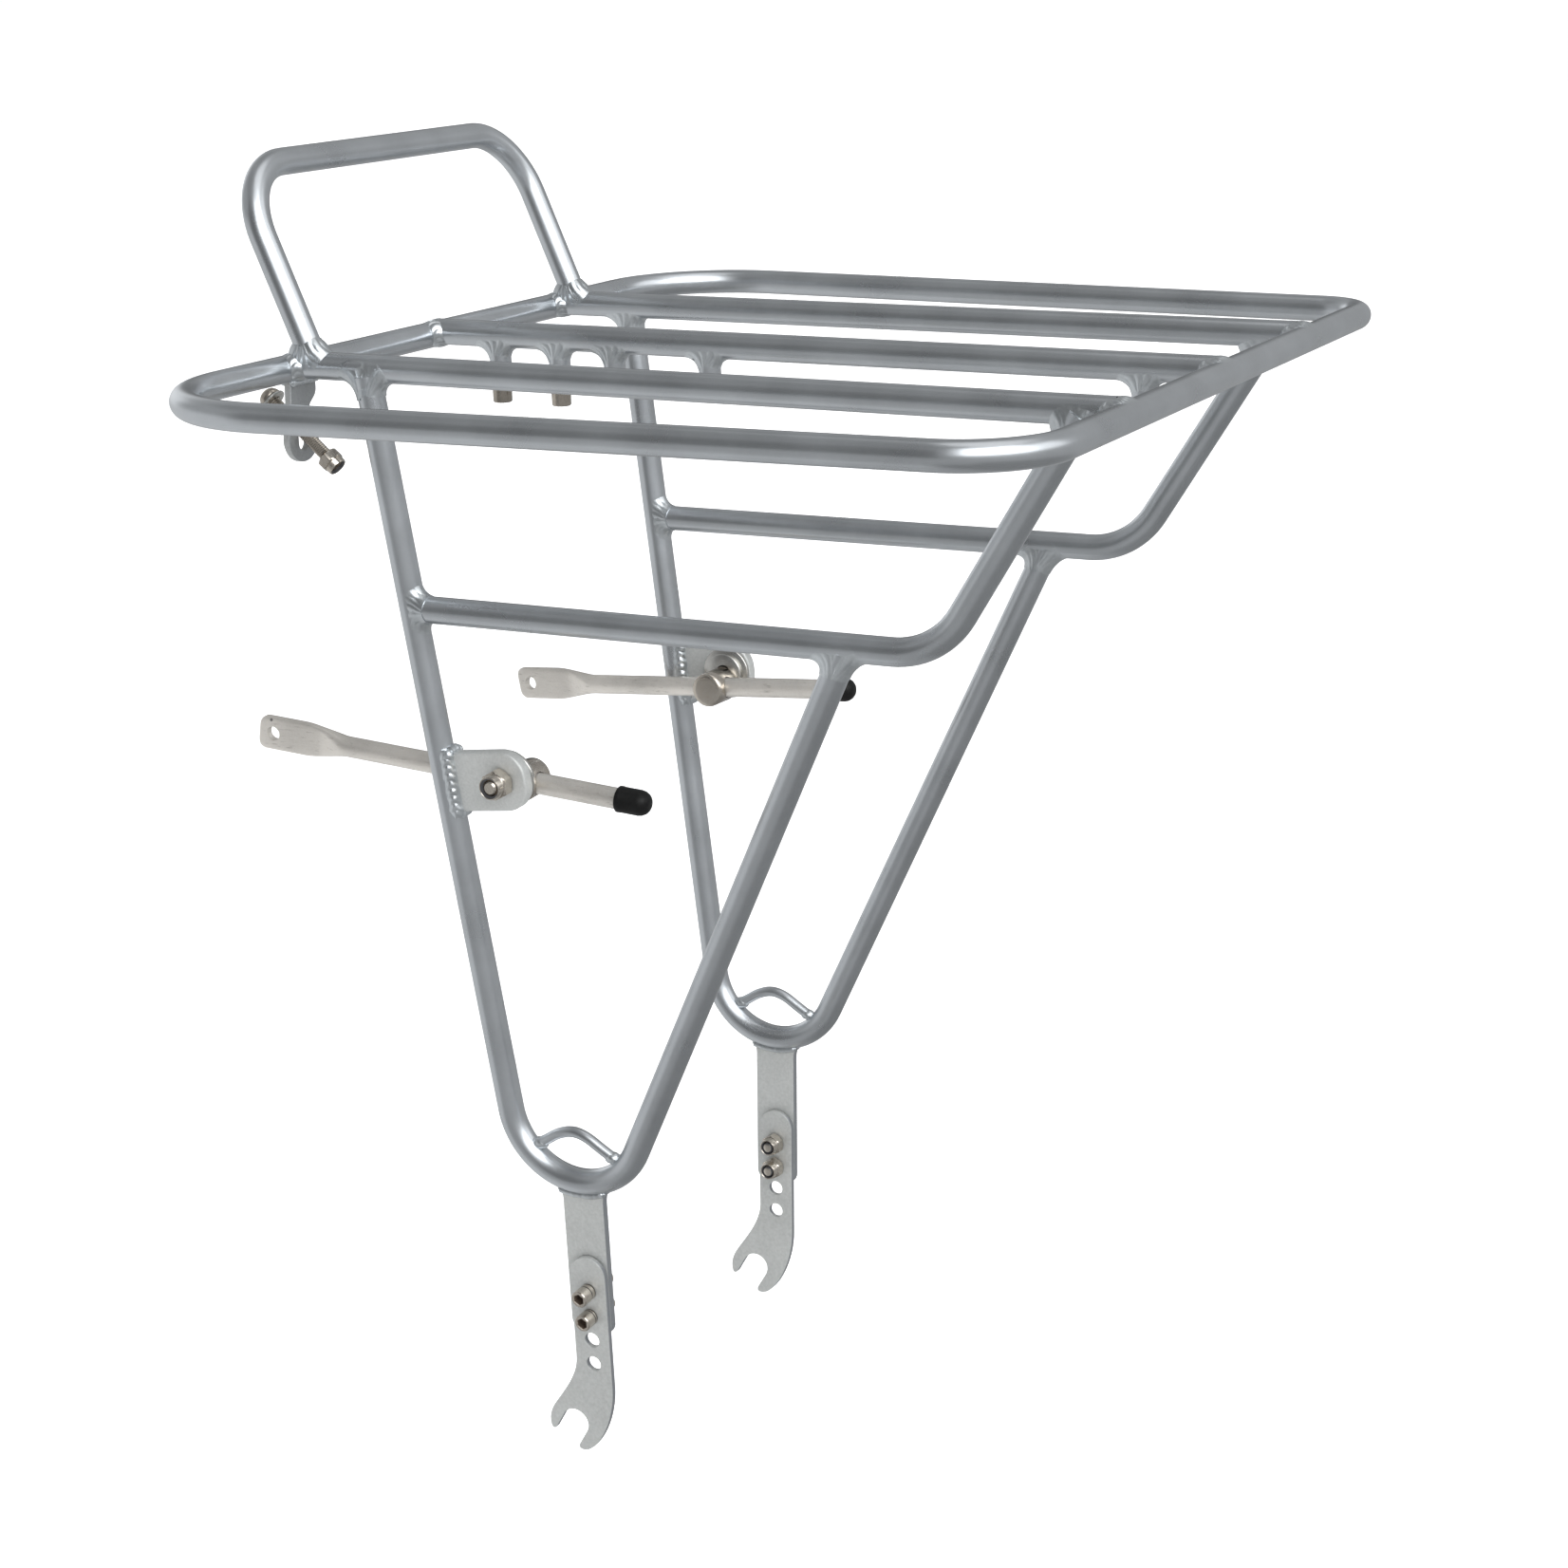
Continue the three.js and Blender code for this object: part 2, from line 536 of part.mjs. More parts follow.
// The tab is square to the leg: points are given along it from the leg axis, and across it.
const tabAlong = new THREE.Vector2(1, HOOP_LEG_SLOPE).normalize();
const tabAcross = new THREE.Vector2(-tabAlong.y, tabAlong.x);
const tabPoint = (along, across) => new THREE.Vector2(hoopLegX(STAY_TAB_Z), STAY_TAB_Z)
  .addScaledVector(tabAlong, along).addScaledVector(tabAcross, across);
const { x: BOLT_X, y: BOLT_Z } = tabPoint(STAY_BOLT_ALONG, 0);

function stayTab() {
  const corner = (across, startAngle) => Array.from({ length: 6 }, (_, k) => {
    const angle = startAngle + Math.PI / 2 * k / 5;
    return tabPoint(STAY_TAB_END - STAY_TAB_CORNER_R + STAY_TAB_CORNER_R * Math.cos(angle),
      across + STAY_TAB_CORNER_R * Math.sin(angle));
  });
  const cornerAcross = STAY_TAB_HALF - STAY_TAB_CORNER_R;
  const shape = new THREE.Shape([
    tabPoint(STAY_TAB_START, -STAY_TAB_HALF),
    ...corner(-cornerAcross, -Math.PI / 2),
    ...corner(cornerAcross, 0),
    tabPoint(STAY_TAB_START, STAY_TAB_HALF),
  ]);
  return cut(plate(shape, -STAY_TAB_T / 2, STAY_TAB_T / 2), legCut,
    barY(-9, 9, BOLT_X, BOLT_Z, BOLT_CLEAR));
}

function eyeBolt(eye, stayDir, inboard) {
  const { near, taper, far } = EYE_SPAN;
  const body = join(
    barY(inboard(near), inboard(taper + 0.1), eye.x, eye.z, EYE_R, 18),
    bar(vec(eye.x, inboard(taper), eye.z), vec(eye.x, inboard(far), eye.z),
      EYE_R, 18, EYE_R - EYE_TAPER),
    barY(inboard(7.2), inboard(-10.2), BOLT_X, BOLT_Z, BOLT_R));
  const boreStart = eye.clone().addScaledVector(stayDir, -20);
  const boreEnd = eye.clone().addScaledVector(stayDir, 20);
  return cut(body, bar(boreStart, boreEnd, STAY_BORE, 20));
}

// Eye bolt from the inside, two washers under the eye, lock nut outside.
function addClamp(side, name, eye, stayDir, inboard) {
  const seat = STAY_TAB_T / 2 + GAP;
  const largeEnd = seat + LARGE_WASHER.thickness;
  const large = washer(inboard(seat), inboard(largeEnd), BOLT_X, BOLT_Z,
    LARGE_WASHER.radius, BOLT_CLEAR, 24);
  const small = washer(inboard(largeEnd + GAP), inboard(EYE_SPAN.near - GAP), BOLT_X, BOLT_Z,
    SMALL_WASHER_R, BOLT_CLEAR, 22);
  const nut = lockNut({
    seat: inboard(-seat), end: inboard(-seat - CLAMP_NUT.height), x: BOLT_X, z: BOLT_Z, ...CLAMP_NUT,
  });
  put(side, `eye_bolt_${name}`, eyeBolt(eye, stayDir, inboard), steel());
  put(side, `clamp_washer_large_${name}`, large, steel());
  put(side, `clamp_washer_small_${name}`, small, steel());
  put(side, `clamp_nut_${name}`, nut, steel());
}

// ---------------------------------------------------------------- stay rod
const STAY_R = 4;
const STAY_LENGTH = 167;         // tip of the flat to the end of the cap
const STAY_TOE = degToRad(3.75); // the flats point outwards by this
const STAY = {                   // pitch up towards +X, and cap end from the eye
  left: { pitch: degToRad(5.4), end: 66.4 },
  right: { pitch: degToRad(-4.7), end: 51.8 },
};
const FLAT_LENGTH = 36;
const FLAT_HALF = 6.7;
const FLAT_T = 3.2;
const FLAT_CORNER = 3.4;         // size of the rounded corners at the tip
const FLAT_SLANT = 0.7;          // the tip is cut slightly off square
const FLAT_HOLE = { fromTip: 6.4, radius: 2.8 };
const CAP_LENGTH = 13;
const CAP_R = 4.95;
const CAP_WALL = 1.6;            // thickness of the closed end

function stayRod(end, out) {
  const tip = end - STAY_LENGTH;
  const shoulder = tip + FLAT_LENGTH;
  const neck = STAY_R - 0.4;
  const slant = out * FLAT_SLANT;
  const lowTip = tip + slant;
  const highTip = tip - slant;
  const outline = new THREE.Shape();
  outline.moveTo(shoulder + 3, -neck);
  trace(outline, [
    [shoulder - 4, -neck, shoulder - 8, -FLAT_HALF, shoulder - 16, -FLAT_HALF],
    [lowTip + FLAT_CORNER, -FLAT_HALF],
    [lowTip + 1.2, -FLAT_HALF, lowTip, -FLAT_HALF + 1.2,
      tip + slant * 0.5, -FLAT_HALF + FLAT_CORNER],
    [tip - slant * 0.5, FLAT_HALF - FLAT_CORNER],
    [highTip, FLAT_HALF - 1.2, highTip + 1.2, FLAT_HALF, highTip + FLAT_CORNER, FLAT_HALF],
    [shoulder - 16, FLAT_HALF],
    [shoulder - 8, FLAT_HALF, shoulder - 4, neck, shoulder + 3, neck],
  ]);
  outline.closePath();
  const flat = plate(outline, -FLAT_T / 2, FLAT_T / 2, 6);
  const shaft = join(barX(shoulder, end - CAP_WALL - GAP, STAY_R, 16),
    barX(shoulder - 12, shoulder + 0.01, 1.4, 16, STAY_R));
  const hole = barY(-5, 5, tip + FLAT_HOLE.fromTip, 0, FLAT_HOLE.radius, SMALL_SIDES);
  return cut(join(flat, shaft), hole);
}

function stayCap(end) {
  const start = end - CAP_LENGTH;
  const geometry = lathe([
    [0, end - CAP_WALL], [STAY_BORE, end - CAP_WALL], [STAY_BORE, start], [CAP_R, start],
    [CAP_R, end - 3.6], [4.3, end - 1.5], [2.6, end], [0, end],
  ], 16);
  geometry.rotateZ(-Math.PI / 2);
  return solid(geometry);
}

// In the stay's group +X runs along the rod, the origin is at the eye and the flat faces the side.
function addStay(side, name, out) {
  const inboard = (distance) => -out * distance;   // local y of a point inboard of the plane
  const { pitch, end } = STAY[name];
  const eye = vec(BOLT_X, inboard(EYE_IN), BOLT_Z - EYE_DROP);
  const stayDir = vec(Math.cos(pitch) * Math.cos(STAY_TOE),
    inboard(Math.cos(pitch) * Math.sin(STAY_TOE)), Math.sin(pitch));
  put(side, `stay_tab_${name}`, stayTab(), plateAluminium());
  addClamp(side, name, eye, stayDir, inboard);

  const stay = new THREE.Group();
  const upDir = vec(0, 0, 1).addScaledVector(stayDir, -stayDir.z).normalize();
  const leftDir = upDir.clone().cross(stayDir);
  stay.quaternion.setFromRotationMatrix(new THREE.Matrix4().makeBasis(stayDir, leftDir, upDir));
  stay.position.copy(eye);
  side.add(stay);
  put(stay, `stay_rod_${name}`, stayRod(end, out), stayMetal());
  put(stay, `stay_cap_${name}`, stayCap(end), rubber());
}

// ---------------------------------------------------------------- both side frames
for (const [name, out] of [['left', 1], ['right', -1]]) {
  const side = new THREE.Group();
  side.position.set(0, out * SIDE_Y, 0);
  side.rotation.x = -out * Math.atan(SIDE_LEAN);
  rack.add(side);
  addSideRods(side, name, out);
  addFoot(side, name, out);
  addStay(side, name, out);
}

// ---------------------------------------------------------------- origin at the bottom centre
rack.updateMatrixWorld(true);
const box = new THREE.Box3().setFromObject(rack, true);
rack.position.set(-(box.min.x + box.max.x) / 2, -(box.min.y + box.max.y) / 2, -box.min.z);
rack.updateMatrixWorld(true);

export default rack;
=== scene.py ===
import math

import bpy
import bmesh
import numpy as np
from mathutils import Matrix, Vector


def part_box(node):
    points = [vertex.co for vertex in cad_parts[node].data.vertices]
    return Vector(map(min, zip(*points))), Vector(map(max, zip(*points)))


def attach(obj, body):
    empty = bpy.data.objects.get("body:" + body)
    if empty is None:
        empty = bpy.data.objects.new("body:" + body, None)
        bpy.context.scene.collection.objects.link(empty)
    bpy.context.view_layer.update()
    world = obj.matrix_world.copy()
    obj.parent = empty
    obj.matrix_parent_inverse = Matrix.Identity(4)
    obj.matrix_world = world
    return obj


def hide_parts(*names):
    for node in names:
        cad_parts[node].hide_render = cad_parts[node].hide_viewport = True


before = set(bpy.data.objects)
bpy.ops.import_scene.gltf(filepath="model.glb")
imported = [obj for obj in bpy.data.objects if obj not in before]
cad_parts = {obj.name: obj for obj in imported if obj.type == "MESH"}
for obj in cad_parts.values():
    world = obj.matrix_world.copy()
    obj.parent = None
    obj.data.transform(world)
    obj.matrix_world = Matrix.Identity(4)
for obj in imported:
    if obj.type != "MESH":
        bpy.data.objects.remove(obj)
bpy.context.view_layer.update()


def vec(x, y, z):
    return Vector((x, y, z))


X_AXIS, Y_AXIS, Z_AXIS = vec(1, 0, 0), vec(0, 1, 0), vec(0, 0, 1)

# ---------------------------------------------------------------- dimensions, mm
# A LEAN or SLOPE of an upright is its sideways run per mm of height.
ROD_R = 5.0
GAP = 0.3                       # clearance between stacked pieces

# deck: its outline is wider at the hoop end
DECK_LENGTH, DECK_HALF_HOOP, DECK_HALF_OPEN = 321.9, 187.7, 169.2
DECK_BENDS = [53, 47, 20, 32]   # hoop right, hoop left, open left, open right
RAIL_Y, RAIL_Z = 89.4, 1.3
HOOP_FOOT_X, HOOP_LEAN, HOOP_HEIGHT, HOOP_BEND = 11.5, -0.4314, 70.6, 27
BOSS_X, BOSS_R, BOSS_END = [30.9, 57.6, 82.0, 123.0, 293.2], 4.3, -16.0
STORED_SCREWS = 2               # the first bosses each hold a screw
LAMP_Y, LAMP_Z, LAMP_PLATE_T = -87.4, -22.6, 3.0

# side frames: a V leg and a rail below the deck that bends up to it at the open end
SIDE_Y, SIDE_LEAN = 91.4, 0.0382
FRONT_LEG_X, FRONT_LEG_SLOPE = 34.5, 0.1295
REAR_LEG_X, REAR_LEG_SLOPE = 220.8, -0.467
RAIL_DROP, RAIL_RISE = 85.8, 0.0107
UP_X, UP_SLOPE, RAIL_BEND = 307.6, -0.6213, 31
FOOT_BOTTOM = -306.2

# feet: a tab welded to the V, with a dropout plate screwed on
FOOT_SHIFT = {"left": (-1.4, -0.6), "right": (0.0, 1.2)}    # x, z
TAB_T, TAB_X, TAB_HALF, TAB_END = 3.2, 101.4, 9.0, -371.4
TAB_CORNER, TAB_FLARE = 4.4, 1.6
PLATE_T, PLATE_X, PLATE_HALF, PLATE_TOP = 2.2, 102.6, 7.9, -337.8
HOLE_R, HOLE_Z = 3.0, [-352.1, -363.0, -373.3, -383.6]
SLOT_X, SLOT_Z, SLOT_R = 92.2, -412.0, 5.7
SCREW_HEADS = [7.0, 5.9]        # head lengths of the upper and lower dropout screw
DROPOUT_NUT_H = 7.2
BRIDGE_R = 2.1
BRIDGE_POINTS = [               # x, z of the thin wire across the foot of the V
    (77.2, -296.2), (85, -292), (91.6, -287.9), (98, -286),
    (104, -287.2), (111, -291.2), (119.5, -296.2)]

# stays: a tab on the front leg, an eye bolt through it and a rod through the eye
STAY_TAB_T, STAY_TAB_HALF, STAY_TAB_Z = 5.0, 11.35, -151.0
STAY_BOLT_OUT, STAY_TAB_END, STAY_TAB_CORNER = 26.0, 36.4, 10.0
BOLT_CLEAR, EYE_R, EYE_DROP, EYE_IN = 3.3, 7.0, 4.4, 13.0
CLAMP_WASHER_T, CLAMP_WASHER_END, CLAMP_NUT_H = 1.6, 6.5, 8
STAY_R, STAY_BORE, STAY_LENGTH, STAY_TOE = 4.0, 4.3, 167.0, math.radians(3.75)
STAY = {"left": (math.radians(5.4), 66.4), "right": (math.radians(-4.7), 51.8)}  # pitch, cap end
FLAT_LENGTH, FLAT_HALF, FLAT_T = 36.0, 6.7, 3.2
FLAT_CORNER, FLAT_HOLE_X, FLAT_HOLE_R = 3.4, 6.4, 2.8
CAP_LENGTH, CAP_R = 13.0, 4.95

# the deck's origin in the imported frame, from the last boss
boss_lo, boss_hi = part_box("deck_boss_5")
ORIGIN = vec((boss_lo.x + boss_hi.x) / 2 - BOSS_X[4] / 1000, (boss_lo.y + boss_hi.y) / 2,
             boss_lo.z - BOSS_END / 1000)
DECK = Matrix.Translation(ORIGIN) @ Matrix.Scale(0.001, 4)

# plates are drawn in local X and Y, with their thickness along local Z
DRAWN_IN_YZ = Matrix(((0, 0, 1), (1, 0, 0), (0, 1, 0))).to_4x4()
DRAWN_IN_XZ = Matrix(((1, 0, 0), (0, 0, -1), (0, 1, 0))).to_4x4()


# ---------------------------------------------------------------- materials
def add_node(tree, kind, inputs=None, **settings):
    """A shader node; each input is given a value or linked from a socket."""
    node = tree.nodes.new("ShaderNode" + kind)
    for name, value in settings.items():
        setattr(node, name, value)
    for key, value in (inputs or {}).items():
        if isinstance(value, bpy.types.NodeSocket):
            tree.links.new(value, node.inputs[key])
        else:
            node.inputs[key].default_value = value
    return node


def math_node(tree, operation, *values):
    return add_node(tree, "Math", dict(enumerate(values)), operation=operation).outputs[0]


def mix_color(tree, factor, first, second, **settings):
    inputs = {"Factor": factor, "A": first, "B": second}
    return add_node(tree, "Mix", inputs, data_type="RGBA", **settings).outputs["Result"]


def add_specks(tree, coords, color, strength):
    """Small dark dots, kept to scattered patches."""
    cells = add_node(tree, "TexVoronoi", {"Scale": 130.0, "Vector": coords})
    dots = math_node(tree, "LESS_THAN", cells.outputs["Distance"], 0.085)
    patches = add_node(tree, "TexNoise", {"Scale": 24.0, "Vector": coords})
    inside = math_node(tree, "GREATER_THAN", patches.outputs["Fac"], 0.60)
    both = math_node(tree, "MULTIPLY", dots, inside)
    amount = math_node(tree, "MULTIPLY", both, strength)
    return mix_color(tree, amount, color, (0.12, 0.12, 0.12, 1))


def add_marks(tree, coords, color, strength):
    """Thin dark dashes drawn out along X."""
    mapping = add_node(tree, "Mapping", {"Scale": (170.0, 1100.0, 1100.0), "Vector": coords})
    noise = add_node(tree, "TexNoise", {"Scale": 1.0, "Detail": 3.0, "Roughness": 0.6,
                                        "Vector": mapping.outputs["Vector"]})
    amount = add_node(tree, "MapRange", {"From Min": 0.60, "From Max": 0.76, "To Max": strength,
                                         "Value": noise.outputs["Fac"]})
    return mix_color(tree, amount.outputs["Result"], color, (0.16, 0.13, 0.10, 1))


def add_painted_shade_on_x_faces(tree, color, strength):
    """Painted shade: darkens the faces that look along +X, towards the open end."""
    geometry = add_node(tree, "NewGeometry")
    normal = add_node(tree, "SeparateXYZ", {"Vector": geometry.outputs["Normal"]})
    amount = add_node(tree, "MapRange", {"From Min": 0.25, "From Max": 0.85, "To Max": strength,
                                         "Value": normal.outputs["X"]})
    return mix_color(tree, amount.outputs["Result"], color, (0.17, 0.18, 0.195, 1))


def add_streaks(tree, coords, height, strength):
    """Adds relief drawn out along X to the grain's height."""
    mapping = add_node(tree, "Mapping", {"Scale": (60.0, 900.0, 900.0), "Vector": coords})
    noise = add_node(tree, "TexNoise", {"Scale": 1.0, "Detail": 4.0,
                                        "Vector": mapping.outputs["Vector"]})
    return math_node(tree, "MULTIPLY_ADD", noise.outputs["Fac"], strength, height)


def metal(name, color, roughness, metallic, grain, blotch, grain_scale=1500.0, mottle=0.22,
          streak=0.0, specks=0.0, marks=0.0, edge=0.0, specular=0.5):
    """A surface whose colour and roughness drift in soft patches, under a fine grain.

    grain is the strength of the relief, blotch the colour drift of the patches and mottle
    that of the grain; streak, specks, marks and edge are the strengths of optional layers,
    of which edge is painted shade on the faces that look along +X.
    """
    material = bpy.data.materials.new(name)
    material.use_nodes = True
    tree = material.node_tree
    shader = tree.nodes["Principled BSDF"]
    shader.inputs["Metallic"].default_value = metallic
    shader.inputs["Specular IOR Level"].default_value = specular
    shader.inputs["Coat Roughness"].default_value = 0.15
    coords = add_node(tree, "TexCoord").outputs["Object"]
    patch = add_node(tree, "TexNoise", {"Scale": 38.0, "Detail": 5.0, "Vector": coords})
    fine = add_node(tree, "TexNoise", {"Scale": grain_scale, "Detail": 3.0, "Vector": coords})
    ramp = add_node(tree, "ValToRGB", {"Fac": patch.outputs["Fac"]})
    dark, light = ramp.color_ramp.elements
    dark.position, light.position = 0.3, 0.7
    dark.color = (*(c * (1 - blotch) for c in color), 1)
    light.color = (*(c * (1 + blotch * 0.6) for c in color), 1)
    result = mix_color(tree, mottle, ramp.outputs["Color"], fine.outputs["Fac"],
                       blend_type="OVERLAY")
    if specks:
        result = add_specks(tree, coords, result, specks)
    if marks:
        result = add_marks(tree, coords, result, marks)
    # edge paints shade on the faces that look along +X
    if edge:
        result = add_painted_shade_on_x_faces(tree, result, edge)
    tree.links.new(result, shader.inputs["Base Color"])
    rough = add_node(tree, "MapRange", {"To Min": roughness - 0.07, "To Max": roughness + 0.07,
                                        "Value": patch.outputs["Fac"]})
    tree.links.new(rough.outputs["Result"], shader.inputs["Roughness"])
    height = fine.outputs["Fac"]
    if streak:
        height = add_streaks(tree, coords, height, streak)
    bump = add_node(tree, "Bump", {"Strength": grain, "Distance": 0.0002, "Height": height})
    tree.links.new(bump.outputs["Normal"], shader.inputs["Normal"])
    return material


ALLOY = metal("satin_alloy", color=(0.61, 0.635, 0.66), roughness=0.29, metallic=0.985,
              grain=0.06, grain_scale=520.0, blotch=0.10, mottle=0.05)
WELD = metal("weld_metal", color=(0.62, 0.65, 0.67), roughness=0.29, metallic=0.95,
             grain=0.30, grain_scale=700.0, blotch=0.2, specks=0.8)
PLATE = metal("blasted_plate", color=(0.57, 0.58, 0.57), roughness=0.52, metallic=0.55,
              grain=0.35, grain_scale=1100.0, blotch=0.05)
# the bracket and foot plates get painted shade (edge) on their faces that look along +X
BRACKET = metal("blasted_bracket", color=(0.44, 0.45, 0.45), roughness=0.46, metallic=0.70,
                grain=0.35, grain_scale=1100.0, blotch=0.06, edge=0.5)
FOOT_PLATE = metal("blasted_foot_plate", color=(0.55, 0.56, 0.55), roughness=0.50,
                   metallic=0.55, grain=0.40, grain_scale=800.0, blotch=0.06, edge=0.9)
STEEL = metal("nickel_steel", color=(0.66, 0.605, 0.535), roughness=0.19, metallic=1.0,
              grain=0.12, blotch=0.26)
# a darker copy of nickel_steel: painted shade on the screws under the deck
PAINTED_SHADE_STEEL = metal("nickel_steel_painted_shade", color=(0.47, 0.425, 0.37), roughness=0.15,
                    metallic=1.0, grain=0.12, blotch=0.26)
WASHER = metal("zinc_washer", color=(0.66, 0.65, 0.62), roughness=0.25, metallic=1.0,
               grain=0.25, streak=0.6, blotch=0.15)
STAY_STEEL = metal("stay_steel", color=(0.84, 0.80, 0.745), roughness=0.36, metallic=0.80,
                   grain=0.45, streak=1.4, specks=0.8, blotch=0.16, marks=0.42)
# black nylon of the lock nuts' rings; on the dropout screws it is painted shade in the groove
# under the head and on the far end
NYLON_AND_PAINTED_SHADE = metal("lock_ring_and_painted_shade", color=(0.055, 0.055, 0.06), roughness=0.45, metallic=0.0,
              grain=0.2, blotch=0.2)
# painted shade for sockets and for bolt ends sunk in nuts
PAINTED_RECESS_SHADE = metal("painted_recess_shade", color=(0.15, 0.115, 0.09), roughness=0.45, metallic=0.6,
               grain=0.2, blotch=0.3)
RUBBER = metal("black_rubber", color=(0.007, 0.007, 0.007), roughness=0.46, metallic=0.0,
               grain=0.35, grain_scale=900.0, blotch=0.35, specular=0.22)


# ---------------------------------------------------------------- finishing meshes
def finish_mesh(name, mesh, frame, mats, body="frame", slot="rod_alloy", sharp=38, node=None):
    """Turns a bmesh drawn in mm into a shaded object that rides on body."""
    bmesh.ops.remove_doubles(mesh, verts=mesh.verts, dist=1e-4)
    bmesh.ops.recalc_face_normals(mesh, faces=mesh.faces)
    data = bpy.data.meshes.new(name)
    mesh.to_mesh(data)
    mesh.free()
    data.transform(frame)
    for face in data.polygons:
        face.use_smooth = True
    data.set_sharp_from_angle(angle=math.radians(sharp))
    piece = bpy.data.objects.new(name, data)
    bpy.context.scene.collection.objects.link(piece)
    for material in mats:
        data.materials.append(material)
    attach(piece, body)
    if node:
        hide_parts(node)


def finish_piece(node, mesh, frame, mats, **options):
    """Finishes a mesh that stands in for the CAD piece called node."""
    finish_mesh("v_" + node, mesh, frame, mats, node=node, **options)


def temporary_object(name, mesh):
    bmesh.ops.recalc_face_normals(mesh, faces=mesh.faces)
    data = bpy.data.meshes.new(name)
    mesh.to_mesh(data)
    mesh.free()
    holder = bpy.data.objects.new(name, data)
    bpy.context.scene.collection.objects.link(holder)
    return holder


def bored(mesh, cutter):
    """The mesh with the cutter taken out of it; both are used up."""
    blank = temporary_object("blank_tmp", mesh)
    drill = temporary_object("drill_tmp", cutter)
    modifier = blank.modifiers.new("bore", "BOOLEAN")
    modifier.object = drill
    modifier.operation = "DIFFERENCE"
    modifier.solver = "EXACT"
    depsgraph = bpy.context.evaluated_depsgraph_get()
    data = bpy.data.meshes.new_from_object(blank.evaluated_get(depsgraph))
    result = bmesh.new()
    result.from_mesh(data)
    for holder in (blank, drill):
        bpy.data.objects.remove(holder)
    return result


# ---------------------------------------------------------------- shapes
def reject(vector, axis):
    """The part of vector square to a unit axis."""
    return vector - axis * vector.dot(axis)


def loft(mesh, rings, closed=False, mats=(0,)):
    """Joins rings of equal size with quads; open ends are closed with a fan.

    mats holds a material index for each band between rings; the last one repeats.
    """
    rows = [[mesh.verts.new(point) for point in ring] for ring in rings]
    size = len(rows[0])
    bands = list(zip(rows, rows[1:] + ([rows[0]] if closed else [])))
    for i, (lower, upper) in enumerate(bands):
        for k in range(size):
            after = (k + 1) % size
            face = mesh.faces.new((lower[k], lower[after], upper[after], upper[k]))
            face.material_index = mats[min(i, len(mats) - 1)]
    if closed:
        return
    for row, i in ((rows[0], 0), (rows[-1], len(bands) - 1)):
        middle = mesh.verts.new(sum((vert.co for vert in row), Vector()) / size)
        for k in range(size):
            face = mesh.faces.new((row[k], row[(k + 1) % size], middle))
            face.material_index = mats[min(i, len(mats) - 1)]


def arc_path(corners, radii, step, closed=False):
    """Corner points to a polyline with round bends, one point per step degrees."""
    points = [] if closed else [corners[0]]
    order = range(len(corners)) if closed else range(1, len(corners) - 1)
    for i, radius in zip(order, radii):
        before = (corners[i] - corners[i - 1]).normalized()
        after = (corners[(i + 1) % len(corners)] - corners[i]).normalized()
        turn = before.angle(after)
        start = corners[i] - before * (radius * math.tan(turn / 2))
        inward = reject(after, before).normalized()
        centre = start + inward * radius
        count = round(math.degrees(turn) / step)
        for j in range(count + 1):
            angle = turn * j / count
            points.append(centre - inward * (radius * math.cos(angle))
                          + before * (radius * math.sin(angle)))
    if not closed:
        points.append(corners[-1])
    return points


def spline_path(points, steps=6):
    """A Catmull-Rom curve through the points."""
    path = []
    last = len(points) - 1
    for i in range(last):
        p0, p1, p2, p3 = points[max(0, i - 1)], points[i], points[i + 1], points[min(last, i + 2)]
        for k in range(steps):
            t = k / steps
            path.append(0.5 * ((2 * p1) + (p2 - p0) * t + (2 * p0 - 5 * p1 + 4 * p2 - p3) * t * t
                               + (3 * p1 - p0 - 3 * p2 + p3) * t ** 3))
    path.append(points[-1])
    return path


def sweep(mesh, path, radii, sides, closed=False, dome=0.0):
    """A round bar along path with a radius at each point; dome is the height of its ends."""
    count = len(path)
    tangents = []
    for i in range(count):
        before = path[i - 1] if (closed or i) else path[i]
        after = path[(i + 1) % count] if (closed or i < count - 1) else path[i]
        tangents.append((after - before).normalized())
    guide = Z_AXIS if abs(tangents[0].z) < 0.9 else Y_AXIS
    across = reject(guide, tangents[0]).normalized()
    rings = []
    for i, (point, tangent, radius) in enumerate(zip(path, tangents, radii)):
        if i:
            across = tangents[i - 1].rotation_difference(tangent) @ across
            across = reject(across, tangent).normalized()
        other = tangent.cross(across)
        angles = [2 * math.pi * k / sides for k in range(sides)]
        rings.append([point + (across * math.cos(a) + other * math.sin(a)) * radius
                      for a in angles])

    def dome_rings(i, sign):
        result = []
        for j in range(1, 5):
            angle = math.pi / 2 * j / 5
            rise = tangents[i] * (sign * dome * math.sin(angle))
            result.append([path[i] + (point - path[i]) * math.cos(angle) + rise
                           for point in rings[i]])
        return result

    if dome:
        rings = dome_rings(0, -1)[::-1] + rings + dome_rings(count - 1, 1)
    loft(mesh, rings, closed=closed)


def rod(node, path, frame=DECK, radius=ROD_R, sides=36, closed=False):
    mesh = bmesh.new()
    sweep(mesh, path, [radius] * len(path), sides, closed=closed)
    finish_piece(node, mesh, frame, [ALLOY])


def hexagon_radius(across_flats, angle):
    sixth = math.pi / 3
    return across_flats / 2 / math.cos((angle + sixth / 2) % sixth - sixth / 2)


